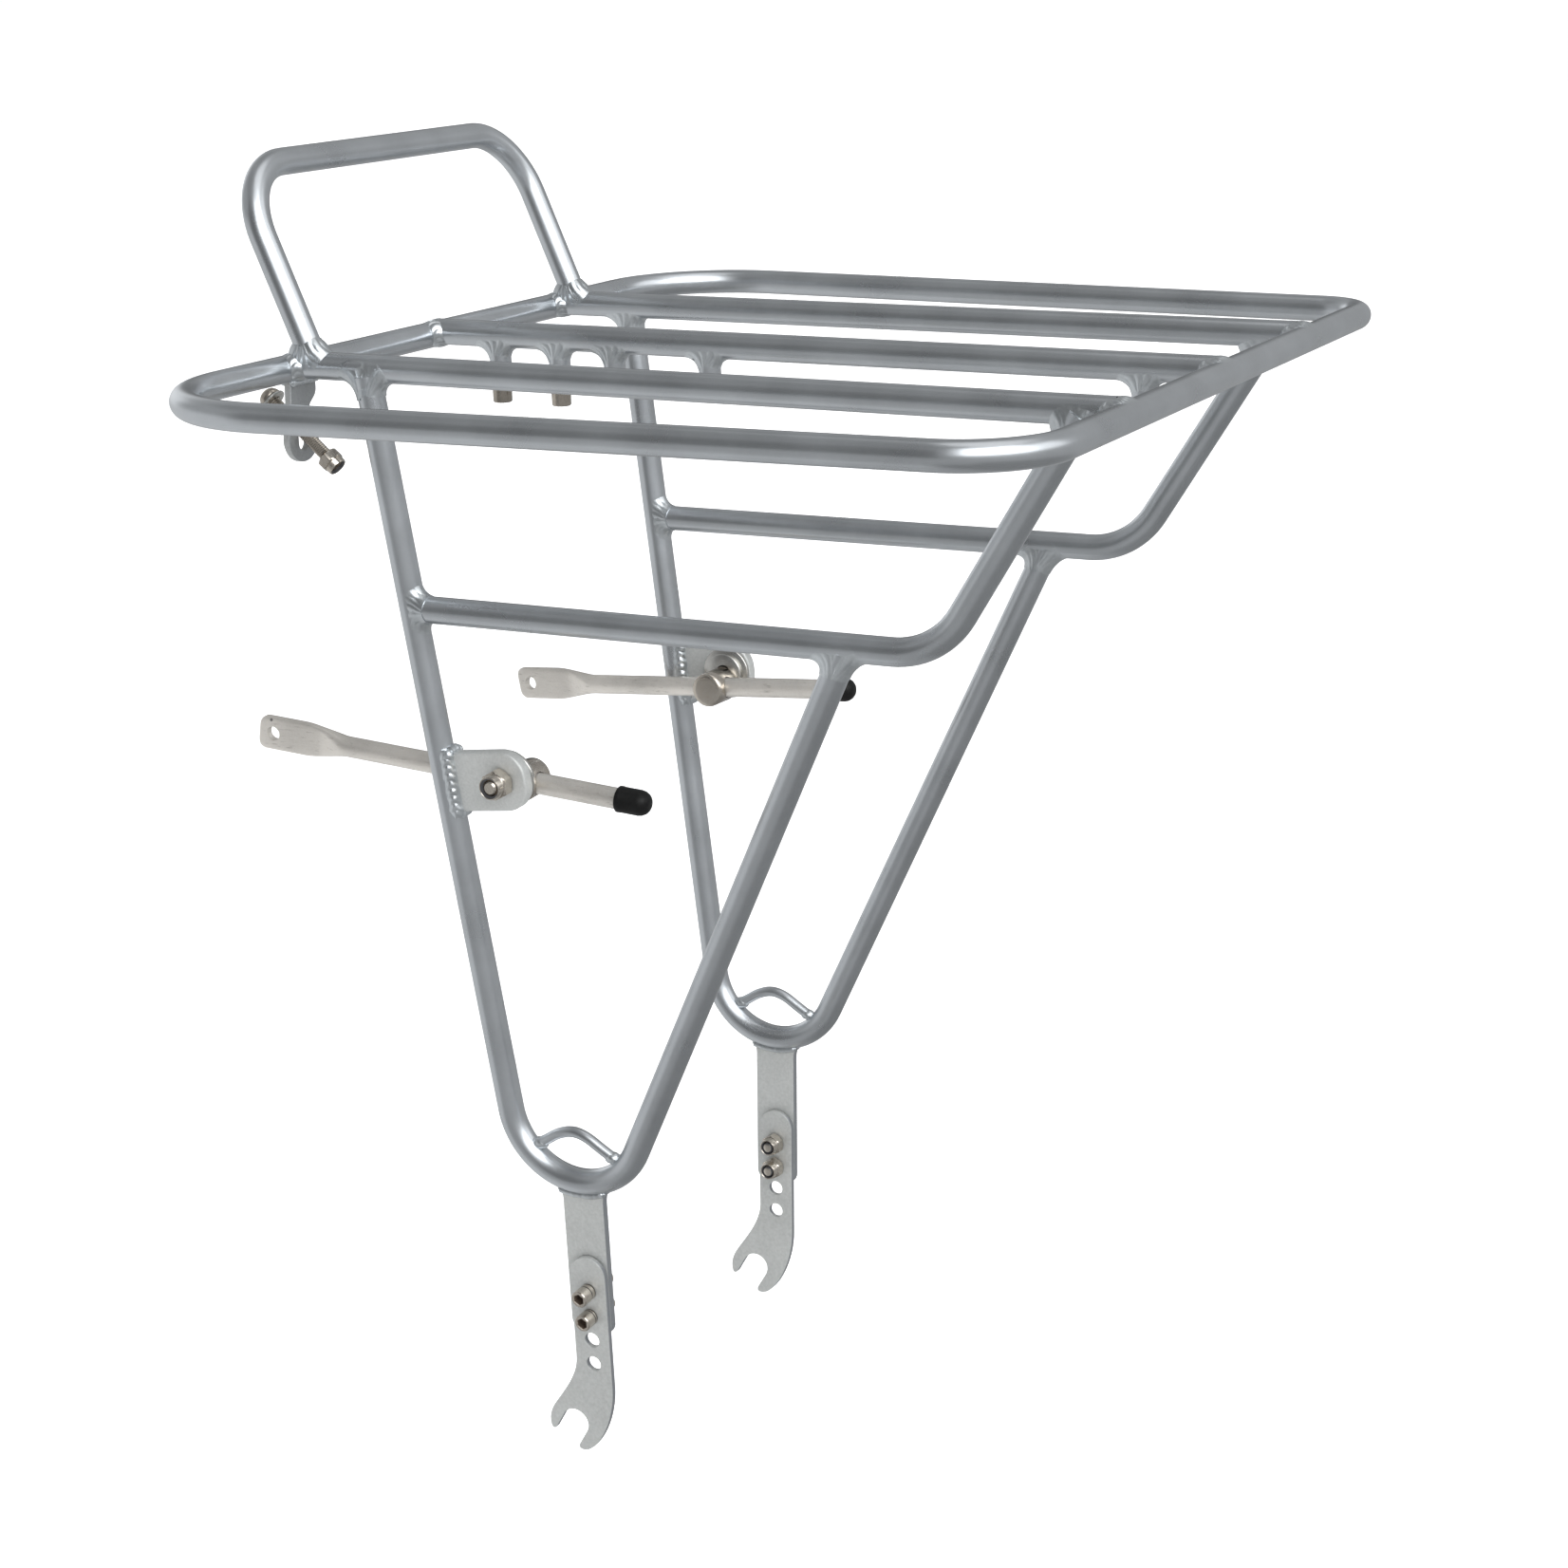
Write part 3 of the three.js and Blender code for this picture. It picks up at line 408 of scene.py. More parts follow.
def revolve(mesh, origin, axis, profile, sides, mats=(0,), closed=False):
    """Turns a profile of (height, radius) or (height, radius, across flats) round axis.

    With across flats the ring is a hexagon, clipped to the radius unless that is 0.
    """
    axis = axis.normalized()
    across = reject(X_AXIS if abs(axis.x) < 0.9 else Z_AXIS, axis).normalized()
    other = axis.cross(across)
    rings = []
    for height, radius, *flats in profile:
        ring = []
        for k in range(sides):
            angle = 2 * math.pi * k / sides
            reach = radius
            if flats:
                hexagon = hexagon_radius(flats[0], angle)
                reach = min(radius, hexagon) if radius else hexagon
            ring.append(origin + axis * height
                        + (across * math.cos(angle) + other * math.sin(angle)) * reach)
        rings.append(ring)
    loft(mesh, rings, closed=closed, mats=mats)


def turned(node, origin, axis, profile, sides, frame, mats, faces=(0,), closed=False,
           slot="fastener_steel", **options):
    """A finished piece made of one turned profile; faces holds its material indices."""
    mesh = bmesh.new()
    revolve(mesh, origin, axis, profile, sides, mats=faces, closed=closed)
    finish_piece(node, mesh, frame, mats, slot=slot, **options)


def thread(start, end, radius, depth=0.32, pitch=0.8):
    """Profile points of a threaded length."""
    turns = int(abs(end - start) / pitch)
    points = []
    for i in range(turns):
        root = start + (end - start) * i / turns
        crest = start + (end - start) * (i + 0.5) / turns
        points += [(root, radius - depth), (crest, radius)]
    points.append((end, radius - depth))
    return points


def outline_plate(node, outer, holes, thickness, frame, material, bevel=0.45):
    """A flat plate with rounded edges from a 2D outline with holes."""
    curve = bpy.data.curves.new(f"v_{node}_c", "CURVE")
    curve.dimensions = "2D"
    curve.fill_mode = "BOTH"
    curve.extrude = thickness / 2 - bevel
    curve.bevel_depth = bevel
    curve.bevel_resolution = 3
    curve.offset = -bevel
    for loop in [outer] + holes:
        spline = curve.splines.new("POLY")
        spline.points.add(len(loop) - 1)
        for point, (x, y) in zip(spline.points, loop):
            point.co = (x, y, 0, 1)
        spline.use_cyclic_u = True
    holder = bpy.data.objects.new(f"v_{node}_t", curve)
    bpy.context.scene.collection.objects.link(holder)
    depsgraph = bpy.context.evaluated_depsgraph_get()
    data = bpy.data.meshes.new_from_object(holder.evaluated_get(depsgraph))
    bpy.data.objects.remove(holder)
    mesh = bmesh.new()
    mesh.from_mesh(data)
    bpy.data.meshes.remove(data)
    for face in mesh.faces:
        face.material_index = 0
    finish_piece(node, mesh, frame, [material], slot="plate_alloy", sharp=50)


def circle(x, y, radius, count=40):
    angles = [2 * math.pi * k / count for k in range(count)]
    return [(x + radius * math.cos(a), y + radius * math.sin(a)) for a in angles]


def arc(x, y, radius, start, end, count=16):
    angles = [start + (end - start) * k / count for k in range(count + 1)]
    return [(x + radius * math.cos(a), y + radius * math.sin(a)) for a in angles]


def bezier(p0, p1, p2, p3, count=14, first=1):
    """Points of a cubic curve; the start point is left out unless first is 0."""
    points = []
    for k in range(first, count + 1):
        t = k / count
        w0, w1, w2, w3 = (1 - t) ** 3, 3 * t * (1 - t) ** 2, 3 * t * t * (1 - t), t ** 3
        points.append(tuple(w0 * p0[i] + w1 * p1[i] + w2 * p2[i] + w3 * p3[i] for i in (0, 1)))
    return points


# ---------------------------------------------------------------- welds
SECTION_POINTS = 13     # points across the face of a weld
COLLAR_POINTS = 168     # sections round a collar weld
COLLAR_PITCH = 2.3


def wobble(x, seed):
    """Smooth repeatable wobble, -1 to 1."""
    return (math.sin(x * 1.7 + seed * 12.9) + math.sin(x * 2.9 + seed * 4.1) * 0.6
            + math.sin(x * 5.3 + seed * 7.7) * 0.35) / 1.95


def weld_face(toe1, crown, toe2, out, ripple, trough, phase):
    """A curved weld section; phase gives the ripple's phase at a place across it, 0 to 1."""
    points = []
    for j in range(SECTION_POINTS):
        u = j / (SECTION_POINTS - 1)
        point = toe1 * (1 - u) ** 2 + crown * 2 * u * (1 - u) + toe2 * u * u
        wave = abs(math.sin(math.pi * phase(u))) - trough
        points.append(point + out * (ripple * wave * math.sin(math.pi * u) ** 0.6))
    return points


def smooth_directions(directions, normals, window):
    """Averages each direction with its neighbours and squares it to its normal."""
    result = []
    for k, normal in enumerate(normals):
        total = sum((directions[(k + j) % COLLAR_POINTS] for j in range(-window, window + 1)),
                    Vector())
        result.append(reject(total, normal).normalized())
    return result


def relax_toe(points, centre, axis, radius, window):
    """Evens out a toe line and puts it back on its bar."""
    for _ in range(2):
        points = [sum((points[(k + j) % COLLAR_POINTS] for j in range(-window, window + 1)),
                      Vector()) / (2 * window + 1) for k in range(COLLAR_POINTS)]
    result = []
    for point in points:
        offset = point - centre
        along = axis * offset.dot(axis)
        result.append(centre + along + (offset - along).normalized() * radius)
    return result


def collar_weld(mesh, base, direction, rod_point, rod_axis, reach, rod_reach, bulge, ripple,
                seed, radius=ROD_R, side=None, gain=0.0, flat=0.0, lip=0.0):
    """Weld round a bar that leaves a rod at base along direction.

    reach and rod_reach are the weld's lengths on the bar and on the rod; bulge above zero is a
    raised bead and below zero a hollow one; gain enlarges it towards side; flat squares up the
    toe on the bar into a ring, and lip raises that ring.
    """
    count = COLLAR_POINTS
    direction, rod_axis = direction.normalized(), rod_axis.normalized()
    across = reject(rod_axis, direction).normalized()
    other = direction.cross(across)

    # where lines just inside the bar's surface leave the rod
    corners, outs, normals = [], [], []
    for k in range(count):
        angle = 2 * math.pi * k / count
        out = across * math.cos(angle) + other * math.sin(angle)
        start = base + out * (radius * 0.97)
        offset, run = reject(start - rod_point, rod_axis), reject(direction, rod_axis)
        qa, qb, qc = run.dot(run), 2 * offset.dot(run), offset.dot(offset) - ROD_R ** 2
        # a line that passes beside the rod takes its nearest point
        root = math.sqrt(max(0.0, qb * qb - 4 * qa * qc))
        corner = start + direction * ((-qb + root) / (2 * qa))
        corners.append(corner)
        outs.append(out)
        normals.append(reject(corner - rod_point, rod_axis).normalized())

    # directions from that line up the bar and out over the rod
    span = count // 40
    up_bar, over_rod = [], []
    for k in range(count):
        tangent = (corners[(k + span) % count] - corners[k - span]).normalized()
        up, over = tangent.cross(outs[k]), tangent.cross(normals[k])
        up_bar.append(up if up.dot(direction) > 0 else -up)
        over_rod.append(over if over.dot(outs[k] - direction) > 0 else -over)
    up_bar = smooth_directions(up_bar, outs, count // 14)
    over_rod = smooth_directions(over_rod, normals, count // 14)

    highest = max((corners[k] + up_bar[k] * reach - base).dot(direction) for k in range(count))
    sizes, bar_toe, rod_toe = [], [], []
    for k in range(count):
        angle = 2 * math.pi * k / count
        size = 1 + 0.10 * wobble(math.sin(angle) * 2.2 + math.cos(angle) * 1.3, seed)
        if side is not None:
            size *= 1 + gain * max(0.0, outs[k].dot(side))
        toe = corners[k] + up_bar[k] * (reach * size)
        short = max(0.0, highest - (toe - base).dot(direction))
        sizes.append(size)
        bar_toe.append(toe + direction * (flat * size * short))
        rod_toe.append(corners[k] + over_rod[k] * (rod_reach * size))
    bar_toe = relax_toe(bar_toe, base, direction, radius + lip, count // 40)
    rod_toe = relax_toe(rod_toe, rod_point, rod_axis, ROD_R, count // 28)

    total = sum((corners[(k + 1) % count] - corners[k]).length for k in range(count))
    pitch = total / round(total / COLLAR_PITCH)
    pull = 1.0 if bulge > 0 else 0.35
    travelled, sections = 0.0, []
    for k in range(count):
        if k:
            travelled += (corners[k] - corners[k - 1]).length
        corner, toe1, toe2 = corners[k], bar_toe[k], rod_toe[k]
        out = (outs[k] + normals[k]).normalized()
        crown = (corner + ((toe1 + toe2) / 2 - corner) * pull
                 + out * (bulge * (reach + rod_reach) * sizes[k] / 2))
        face = weld_face(toe1, crown, toe2, out, ripple, 0.45,
                         lambda u: travelled / pitch + 0.42 * math.sin(math.pi * u))
        sections.append([toe1 - outs[k] * (0.45 + lip)] + face
                        + [toe2 - normals[k] * 0.45, corner - out * 1.2])
    loft(mesh, sections, closed=True)


def strip_weld(mesh, origin, along, toe1, toe2, crown, root, length, seed,
               ripple=0.42, pitch=2.9, lean=0.95):
    """Straight laid bead; toe1, toe2, crown and root are offsets of its section from origin."""
    count = int(length / pitch * 12)
    middle = (toe1 + toe2) / 2
    out = (crown - middle).normalized()
    sections = []
    for k in range(count + 1):
        part = k / count
        travelled = length * part
        base = origin + along * travelled
        fade = min(1.0, 0.30 + 6.0 * min(part, 1 - part)) ** 0.5
        size = 1 + 0.09 * wobble(travelled * 0.5, seed)
        start, top, end = (middle + (point - middle) * fade * size
                           for point in (toe1, crown, toe2))
        face = weld_face(start, top, end, out, ripple, 0.4,
                         lambda u: travelled / pitch + lean * math.sin(math.pi * u) + 0.25 * u)
        sections.append([base + point for point in face] + [base + root])
    loft(mesh, sections)


def blob(mesh, centre, radii, seed):
    """A lump of weld metal, slightly uneven."""
    sphere = bmesh.ops.create_uvsphere(mesh, u_segments=24, v_segments=14, radius=1.0)
    for vert in sphere["verts"]:
        x, y, z = vert.co
        size = 1 + 0.07 * wobble(x * 2.1 + y * 1.7 + z * 2.5, seed)
        vert.co = centre + vec(x * radii[0] * size, y * radii[1] * size, z * radii[2] * size)


def bead(mesh, path, radius, seed, pitch=2.2, depth=0.28):
    """A laid weld bead along path, a row of overlapping ripples."""
    points = []
    for start, end in zip(path, path[1:]):
        steps = math.ceil((end - start).length / (pitch / 6))
        points += [start.lerp(end, j / steps) for j in range(steps)]
    points.append(path[-1])
    travelled, radii = 0.0, []
    for i, point in enumerate(points):
        if i:
            travelled += (point - points[i - 1]).length
        phase = (travelled / pitch) % 1.0
        radii.append(radius * (1 + 0.08 * wobble(travelled * 0.35, seed))
                     + depth * (math.sin(math.pi * phase) - 0.6))
    radii[0] *= 0.6
    radii[-1] *= 0.6
    sweep(mesh, points, radii, sides=14, dome=radius * 0.5)


deck_welds, hoop_welds, boss_welds = bmesh.new(), bmesh.new(), bmesh.new()


# ---------------------------------------------------------------- deck
def build_deck():
    corners = [vec(0, -DECK_HALF_HOOP, 0), vec(0, DECK_HALF_HOOP, 0),
               vec(DECK_LENGTH, DECK_HALF_OPEN, 0), vec(DECK_LENGTH, -DECK_HALF_OPEN, 0)]
    rod("deck_loop", arc_path(corners, DECK_BENDS, step=3.5, closed=True), closed=True)
    inset = 3.5     # rail ends stop inside the loop's rod
    for name, y in (("left", RAIL_Y), ("center", 0), ("right", -RAIL_Y)):
        rod(f"deck_rail_{name}", [vec(inset, y, RAIL_Z), vec(DECK_LENGTH - inset, y, RAIL_Z)])
        for x, inward, seed in ((0, 1, 1.0), (DECK_LENGTH, -1, 2.0)):
            collar_weld(deck_welds, vec(x, y, RAIL_Z), X_AXIS * inward, vec(x, 0, 0), Y_AXIS,
                        reach=3.4, rod_reach=2.6, bulge=0.16, ripple=0.42, seed=seed + y)


def hoop_x(z):
    return HOOP_FOOT_X + HOOP_LEAN * z


def build_hoop():
    foot_z = 3
    corners = [vec(hoop_x(z), y, z) for y, z in (
        (-RAIL_Y, foot_z), (-RAIL_Y, HOOP_HEIGHT), (RAIL_Y, HOOP_HEIGHT), (RAIL_Y, foot_z))]
    rod("end_hoop", arc_path(corners, [HOOP_BEND, HOOP_BEND], step=4))
    for side in (-1, 1):
        y = side * RAIL_Y
        collar_weld(hoop_welds, vec(hoop_x(RAIL_Z), y, RAIL_Z), vec(HOOP_LEAN, 0, 1),
                    vec(0, y, RAIL_Z), X_AXIS, reach=3.2, rod_reach=3.6, bulge=0.10,
                    ripple=0.34, seed=4 + side, flat=0.55, lip=0.3)


def build_boss(number, x, stored):
    """A threaded boss under the centre rail, or a plain one that holds a stored screw."""
    bore = 2.8 if stored else 2.1
    profile = [(3, 3.9), (-14.9, BOSS_R), (-15.6, BOSS_R - 0.15), (BOSS_END, BOSS_R - 0.6),
               (BOSS_END, bore + 0.45), (-15.5, bore)]
    profile += [(-8, bore)] if stored else thread(-15.2, -8.0, bore + 0.16)
    turned(f"deck_boss_{number}", vec(x, 0, 0), Z_AXIS, profile, 40, DECK, [ALLOY],
           slot="rod_alloy")
    collar_weld(boss_welds, vec(x, 0, RAIL_Z), -Z_AXIS, vec(0, 0, RAIL_Z), X_AXIS,
                radius=BOSS_R, reach=3.4, rod_reach=4.2, bulge=-0.02, ripple=0.26,
                seed=9 + number, side=-X_AXIS, gain=0.35, flat=0.6)


def build_stored_screw(number, x):
    """A socket-head screw, head down."""
    profile = [(-21.6, 0.01), (-21.4, 0, 4.4), (-24.35, 0, 4.5), (-24.6, 0, 5.0),
               (-24.6, 3.35), (-24.2, 3.72), (-18.9, 3.75), (-18.6, 3.5), (-18.6, 2.5)]
    profile += thread(-18.4, -8.2, 2.45)
    # painted shade: the socket is dark and the rest is the darker steel copy
    turned(f"boss_screw_{number}", vec(x, 0, 0), Z_AXIS, profile, 48, DECK,
           [PAINTED_SHADE_STEEL, PAINTED_RECESS_SHADE], faces=[1, 1, 1, 0])


# ---------------------------------------------------------------- fasteners
def build_washer(node, origin, axis, low, high, radius, hole, frame, body="frame"):
    edge = min(0.35, (high - low) * 0.3)
    profile = [(low, hole + 0.1), (low, radius - edge), (low + edge * 0.4, radius - edge * 0.3),
               (low + edge, radius), (high - edge, radius),
               (high - edge * 0.4, radius - edge * 0.3), (high, radius - edge),
               (high, hole + 0.1), (high - 0.12, hole), (low + 0.12, hole)]
    turned(node, origin, axis, profile, 64, frame, [WASHER], closed=True, body=body)


def build_lock_nut(node, origin, axis, start, end, flats, collar, hole, frame, body="frame"):
    """Hexagon with chamfered corners, a rolled collar and a dark insert ring in its mouth."""
    sign = 1 if end > start else -1
    height = abs(end - start)
    hexagon = height * 0.62
    corner = flats / 2 / math.cos(math.pi / 6)
    outside = [
        (0, hole), (0, flats / 2 - 0.15), (0.25, flats / 2 + 0.05), (0.55, corner * 0.985, flats),
        (0.7, 0, flats), (hexagon - 0.7, 0, flats), (hexagon - 0.45, corner * 0.975, flats),
        (hexagon - 0.1, flats / 2 + 0.02), (hexagon, flats / 2 - 0.25),
        (hexagon + 0.15, collar + 0.1), (hexagon + 0.6, collar), (height - 0.7, collar - 0.05),
        (height - 0.15, collar - 0.2), (height, collar - 0.45), (height - 0.15, collar - 0.65)]
    inside = [(height - 0.6, collar - 0.72), (height - 0.75, hole + 0.15),
              (height - 1.2, hole), (0.2, hole)]
    profile = [(start + sign * point[0], *point[1:]) for point in outside + inside]
    turned(node, origin, axis, profile, 60, frame, [STEEL, NYLON_AND_PAINTED_SHADE], closed=True, body=body,
           faces=[0] * (len(outside) - 1) + [1, 1, 1, 0], sharp=28)


# ---------------------------------------------------------------- lamp bracket
def build_lamp_bracket():
    """A plate that hangs from the deck's right rail, drawn in Y and Z, with an upright slot."""
    outer = [(-93, -3.5), (-78, -3.5), (-78, -8.5)]
    outer += bezier((-78, -8.5), (-78, -13), (-83.2, -12.5), (-82.9, -17))
    outer += bezier((-82.9, -17), (-82.7, -20), (-78.2, -20.5), (-78.2, -25.6))
    outer += arc(-87.2, -25.6, 9.0, 0, -math.pi, 32)[1:]
    outer += [(-93.6, -14)]
    slot = (arc(-87.3, -19.6, 2.95, 0, math.pi)
            + arc(-87.3, -27.6, 2.95, math.pi, 2 * math.pi))
    outline_plate("lamp_bracket", outer, [slot], LAMP_PLATE_T, DECK @ DRAWN_IN_YZ, BRACKET,
                  bevel=0.5)
    for x in (-2.1, 2.1):
        bead(deck_welds, [vec(x, -93, -4.9), vec(x, -78.3, -4.9)], radius=1.5, seed=x)


def build_lamp_bolt():
    """The loose bolt through the bracket's slot, tilted, with its washer and nut."""
    frame = (DECK @ Matrix.Translation((0, LAMP_Y, LAMP_Z))
             @ Matrix.Rotation(math.atan2(0.644, 0.765), 4, "Y")
             @ Matrix.Rotation(-math.pi / 2, 4, "Z"))
    centre = vec(0, 0, 0)
    head = [(-17.9, 0.01), (-17.9, 0, 2.9), (-19.0, 0, 3.0), (-19.3, 1.95), (-19.0, 2.5),
            (-18.3, 3.4), (-17.2, 4.0), (-16.2, 4.28), (-15.7, 4.2), (-15.6, 3.9),
            (-15.6, 2.35)]
    shank = thread(-15.2, 18.6, 2.42, depth=0.24)
    # the socket and the far end inside the nut are dark with painted shade
    turned("lamp_bolt", centre, Y_AXIS, head + shank + [(18.9, 1.9), (18.9, 0.01)], 40, frame,
           [PAINTED_SHADE_STEEL, PAINTED_RECESS_SHADE], faces=[1, 1] + [0] * (8 + len(shank)) + [1, 1])
    build_washer("lamp_washer", centre, Y_AXIS, low=-15.3, high=-14.3, radius=5.0, hole=2.75,
                 frame=frame)
    build_lock_nut("lamp_nut", centre, Y_AXIS, start=14.6, end=20.8, flats=8.0, collar=3.7,
                   hole=2.6, frame=frame)


# ---------------------------------------------------------------- side frame lines, at y = 0
def front_x(z):
    return FRONT_LEG_X - FRONT_LEG_SLOPE * z


def rear_x(z):
    return REAR_LEG_X + REAR_LEG_SLOPE * (-z - RAIL_DROP)


def low_z(x):
    """Height of the lower rail."""
    return -RAIL_DROP + RAIL_RISE * (x - FRONT_LEG_X)


def up_x(z):
    """The rail's rising end."""
    return UP_X - UP_SLOPE * z


# the V: its two legs' lines meet at the apex, and the bend touches both and the foot's bottom
apex_drop = ((REAR_LEG_X - FRONT_LEG_X - REAR_LEG_SLOPE * RAIL_DROP)
             / (FRONT_LEG_SLOPE - REAR_LEG_SLOPE))
APEX = vec(front_x(-apex_drop), 0, -apex_drop)
FRONT_UP = (vec(front_x(0), 0, 0) - APEX).normalized()
REAR_UP = (vec(rear_x(0), 0, 0) - APEX).normalized()
half_angle = FRONT_UP.angle(REAR_UP) / 2
bisector = (FRONT_UP + REAR_UP).normalized()
centre_reach = (FOOT_BOTTOM - APEX.z) / (bisector.z - math.sin(half_angle))
LEG_BEND = centre_reach * math.sin(half_angle)
BEND_CENTRE = APEX + bisector * centre_reach
REAR_TOP = low_z(REAR_LEG_X) - 1.6

# the rail: it starts on the front leg and turns up where its two lines meet
RAIL_START = front_x(low_z(45))
RAIL_CORNER = ((UP_X + UP_SLOPE * (RAIL_DROP + RAIL_RISE * FRONT_LEG_X))
               / (1 + UP_SLOPE * RAIL_RISE))

# the stay tab's own directions: out from the front leg, and up along it
TAB_OUT = vec(1, 0, FRONT_LEG_SLOPE).normalized()
TAB_UP = vec(-TAB_OUT.z, 0, TAB_OUT.x)
TAB_ROOT = vec(front_x(STAY_TAB_Z), 0, STAY_TAB_Z)


def stay_tab_point(out, up):
    point = TAB_ROOT + TAB_OUT * out + TAB_UP * up
    return (point.x, point.z)


def under_bend(x, y=0.0):
    """Height of the underside of the V's bend."""
    radius = LEG_BEND + math.sqrt(ROD_R ** 2 - y ** 2)
    return BEND_CENTRE.z - math.sqrt(radius ** 2 - (x - BEND_CENTRE.x) ** 2)


def build_side_rods(name, frame):
    leg = [vec(front_x(-1.0), 0, -1.0), APEX, vec(rear_x(REAR_TOP), 0, REAR_TOP)]
    rod(f"side_leg_{name}", arc_path(leg, [LEG_BEND], step=4), frame)
    rail = [vec(RAIL_START + 3, 0, low_z(RAIL_START)), vec(RAIL_CORNER, 0, low_z(RAIL_CORNER)),
            vec(up_x(0.2), 0, 0.2)]
    rod(f"pannier_rail_{name}", arc_path(rail, [RAIL_BEND], step=4), frame)


def weld_side_rods(mesh, side):
    deck_rail = vec(0, -side * (SIDE_Y - RAIL_Y), RAIL_Z)
    low_rail = vec(1, 0, RAIL_RISE)
    rail_start = vec(RAIL_START, 0, low_z(RAIL_START))
    # front leg to deck
    collar_weld(mesh, vec(front_x(0), 0, 0), -FRONT_UP, deck_rail, X_AXIS,
                reach=4.6, rod_reach=5.2, bulge=-0.02, ripple=0.16, seed=20 + side,
                side=-X_AXIS, gain=0.35, flat=0.8, lip=0.4)
    # rail's rising end to deck
    collar_weld(mesh, vec(up_x(0), 0, 0), vec(up_x(-50) - up_x(0), 0, -50), deck_rail, X_AXIS,
                reach=4.4, rod_reach=4.0, bulge=0.02, ripple=0.16, seed=24 + side)
    # rail to front leg
    collar_weld(mesh, rail_start, low_rail, rail_start, FRONT_UP,
                reach=2.6, rod_reach=4.4, bulge=-0.03, ripple=0.22, seed=28 + side,
                flat=0.7, lip=0.25)
    # rear leg to rail
    collar_weld(mesh, vec(rear_x(REAR_TOP), 0, REAR_TOP), -REAR_UP, vec(0, 0, low_z(0)),
                low_rail, reach=4.0, rod_reach=4.6, bulge=0.0, ripple=0.14, seed=32 + side,
                side=-X_AXIS, gain=0.3, flat=0.7, lip=0.25)


def weld_foot_tab(mesh, side, tab_x):
    """A bead on both faces of the tab, following the round of the bend."""
    for y in (-TAB_T / 2 - 0.35, TAB_T / 2 + 0.35):
        stations = [tab_x + (TAB_HALF + 0.8) * (k / 6 - 1) for k in range(13)]
        bead(mesh, [vec(x, y, under_bend(x, y) - 0.1) for x in stations],
             radius=1.45, seed=y + side, pitch=2.6, depth=0.10)


def weld_stay_tab(mesh, side):
    """A laid bead on both faces of the tab, closed round its corners."""
    for face in (-1, 1):
        out = Y_AXIS * face
        strip_weld(mesh, TAB_ROOT + TAB_UP * (STAY_TAB_HALF + 1.6), -TAB_UP,
                   toe1=TAB_OUT * 1.9 + out * 4.55,
                   toe2=TAB_OUT * 6.9 + out * (STAY_TAB_T / 2 - 0.05),
                   crown=TAB_OUT * 5.6 + out * 6.3,
                   root=TAB_OUT * 3.0 + out * 1.5,
                   length=2 * STAY_TAB_HALF + 3.8, seed=40 + face + side)
        blob(mesh, TAB_ROOT + TAB_OUT * 5.0 + TAB_UP * (STAY_TAB_HALF - 0.6) + out * 3.2,
             radii=(2.3, 1.9, 2.3), seed=3 + face)
    for up in (-STAY_TAB_HALF - 0.3, STAY_TAB_HALF + 0.3):
        middle = TAB_ROOT + TAB_OUT * 5.3 + TAB_UP * up
        bead(mesh, [middle + vec(0, -2.6, 0), middle + vec(0, 2.6, 0)],
             radius=2.1, pitch=2.6, depth=0.15, seed=up)


def build_side_welds(name, side, frame):
    mesh = bmesh.new()
    weld_side_rods(mesh, side)
    weld_foot_tab(mesh, side, TAB_X + FOOT_SHIFT[name][0])
    weld_stay_tab(mesh, side)
    # lumps over the ends of the bridge wire
    blob(mesh, vec(83.4, 0, -293.1), radii=(3.4, 2.5, 2.4), seed=5 + side)
    blob(mesh, vec(115.2, 0, -293.6), radii=(3.2, 2.5, 2.2), seed=7 + side)
    finish_mesh(f"weld_side_{name}", mesh, frame, [WELD])


def build_foot_tab(name, frame):
    shift_x, shift_z = FOOT_SHIFT[name]
    tab_x, end = TAB_X + shift_x, TAB_END + shift_z
    low_x, high_x, corner = tab_x - TAB_HALF, tab_x + TAB_HALF, TAB_CORNER

    def flare(edge, out):
        """Curve points from the flared root of an edge to its straight part."""
        wide = edge + out * TAB_FLARE
        return [(wide, under_bend(wide) + 0.4), (edge + out * 0.7, under_bend(edge) - 0.6),
                (edge, under_bend(edge) - 1.6), (edge, under_bend(edge) - 4.6)]

    outline = [(low_x - TAB_FLARE, under_bend(low_x - TAB_FLARE) + 0.9)]
    outline += bezier(*flare(low_x, -1), count=8, first=0)
    outline += [(low_x, end + corner)]
    outline += arc(low_x + corner, end + corner, corner, math.pi, 1.5 * math.pi, 8)[1:]
    outline += arc(high_x - corner, end + corner, corner, 1.5 * math.pi, 2 * math.pi, 8)
    outline += bezier(*reversed(flare(high_x, 1)), count=8, first=0)
    outline += [(high_x + TAB_FLARE, under_bend(high_x + TAB_FLARE) + 0.9),
                (tab_x, under_bend(tab_x) + 1.2)]
    holes = [circle(PLATE_X + shift_x, z + shift_z, HOLE_R) for z in HOLE_Z[:2]]
    outline_plate(f"foot_tab_{name}", outline, holes, TAB_T, frame @ DRAWN_IN_XZ, FOOT_PLATE)


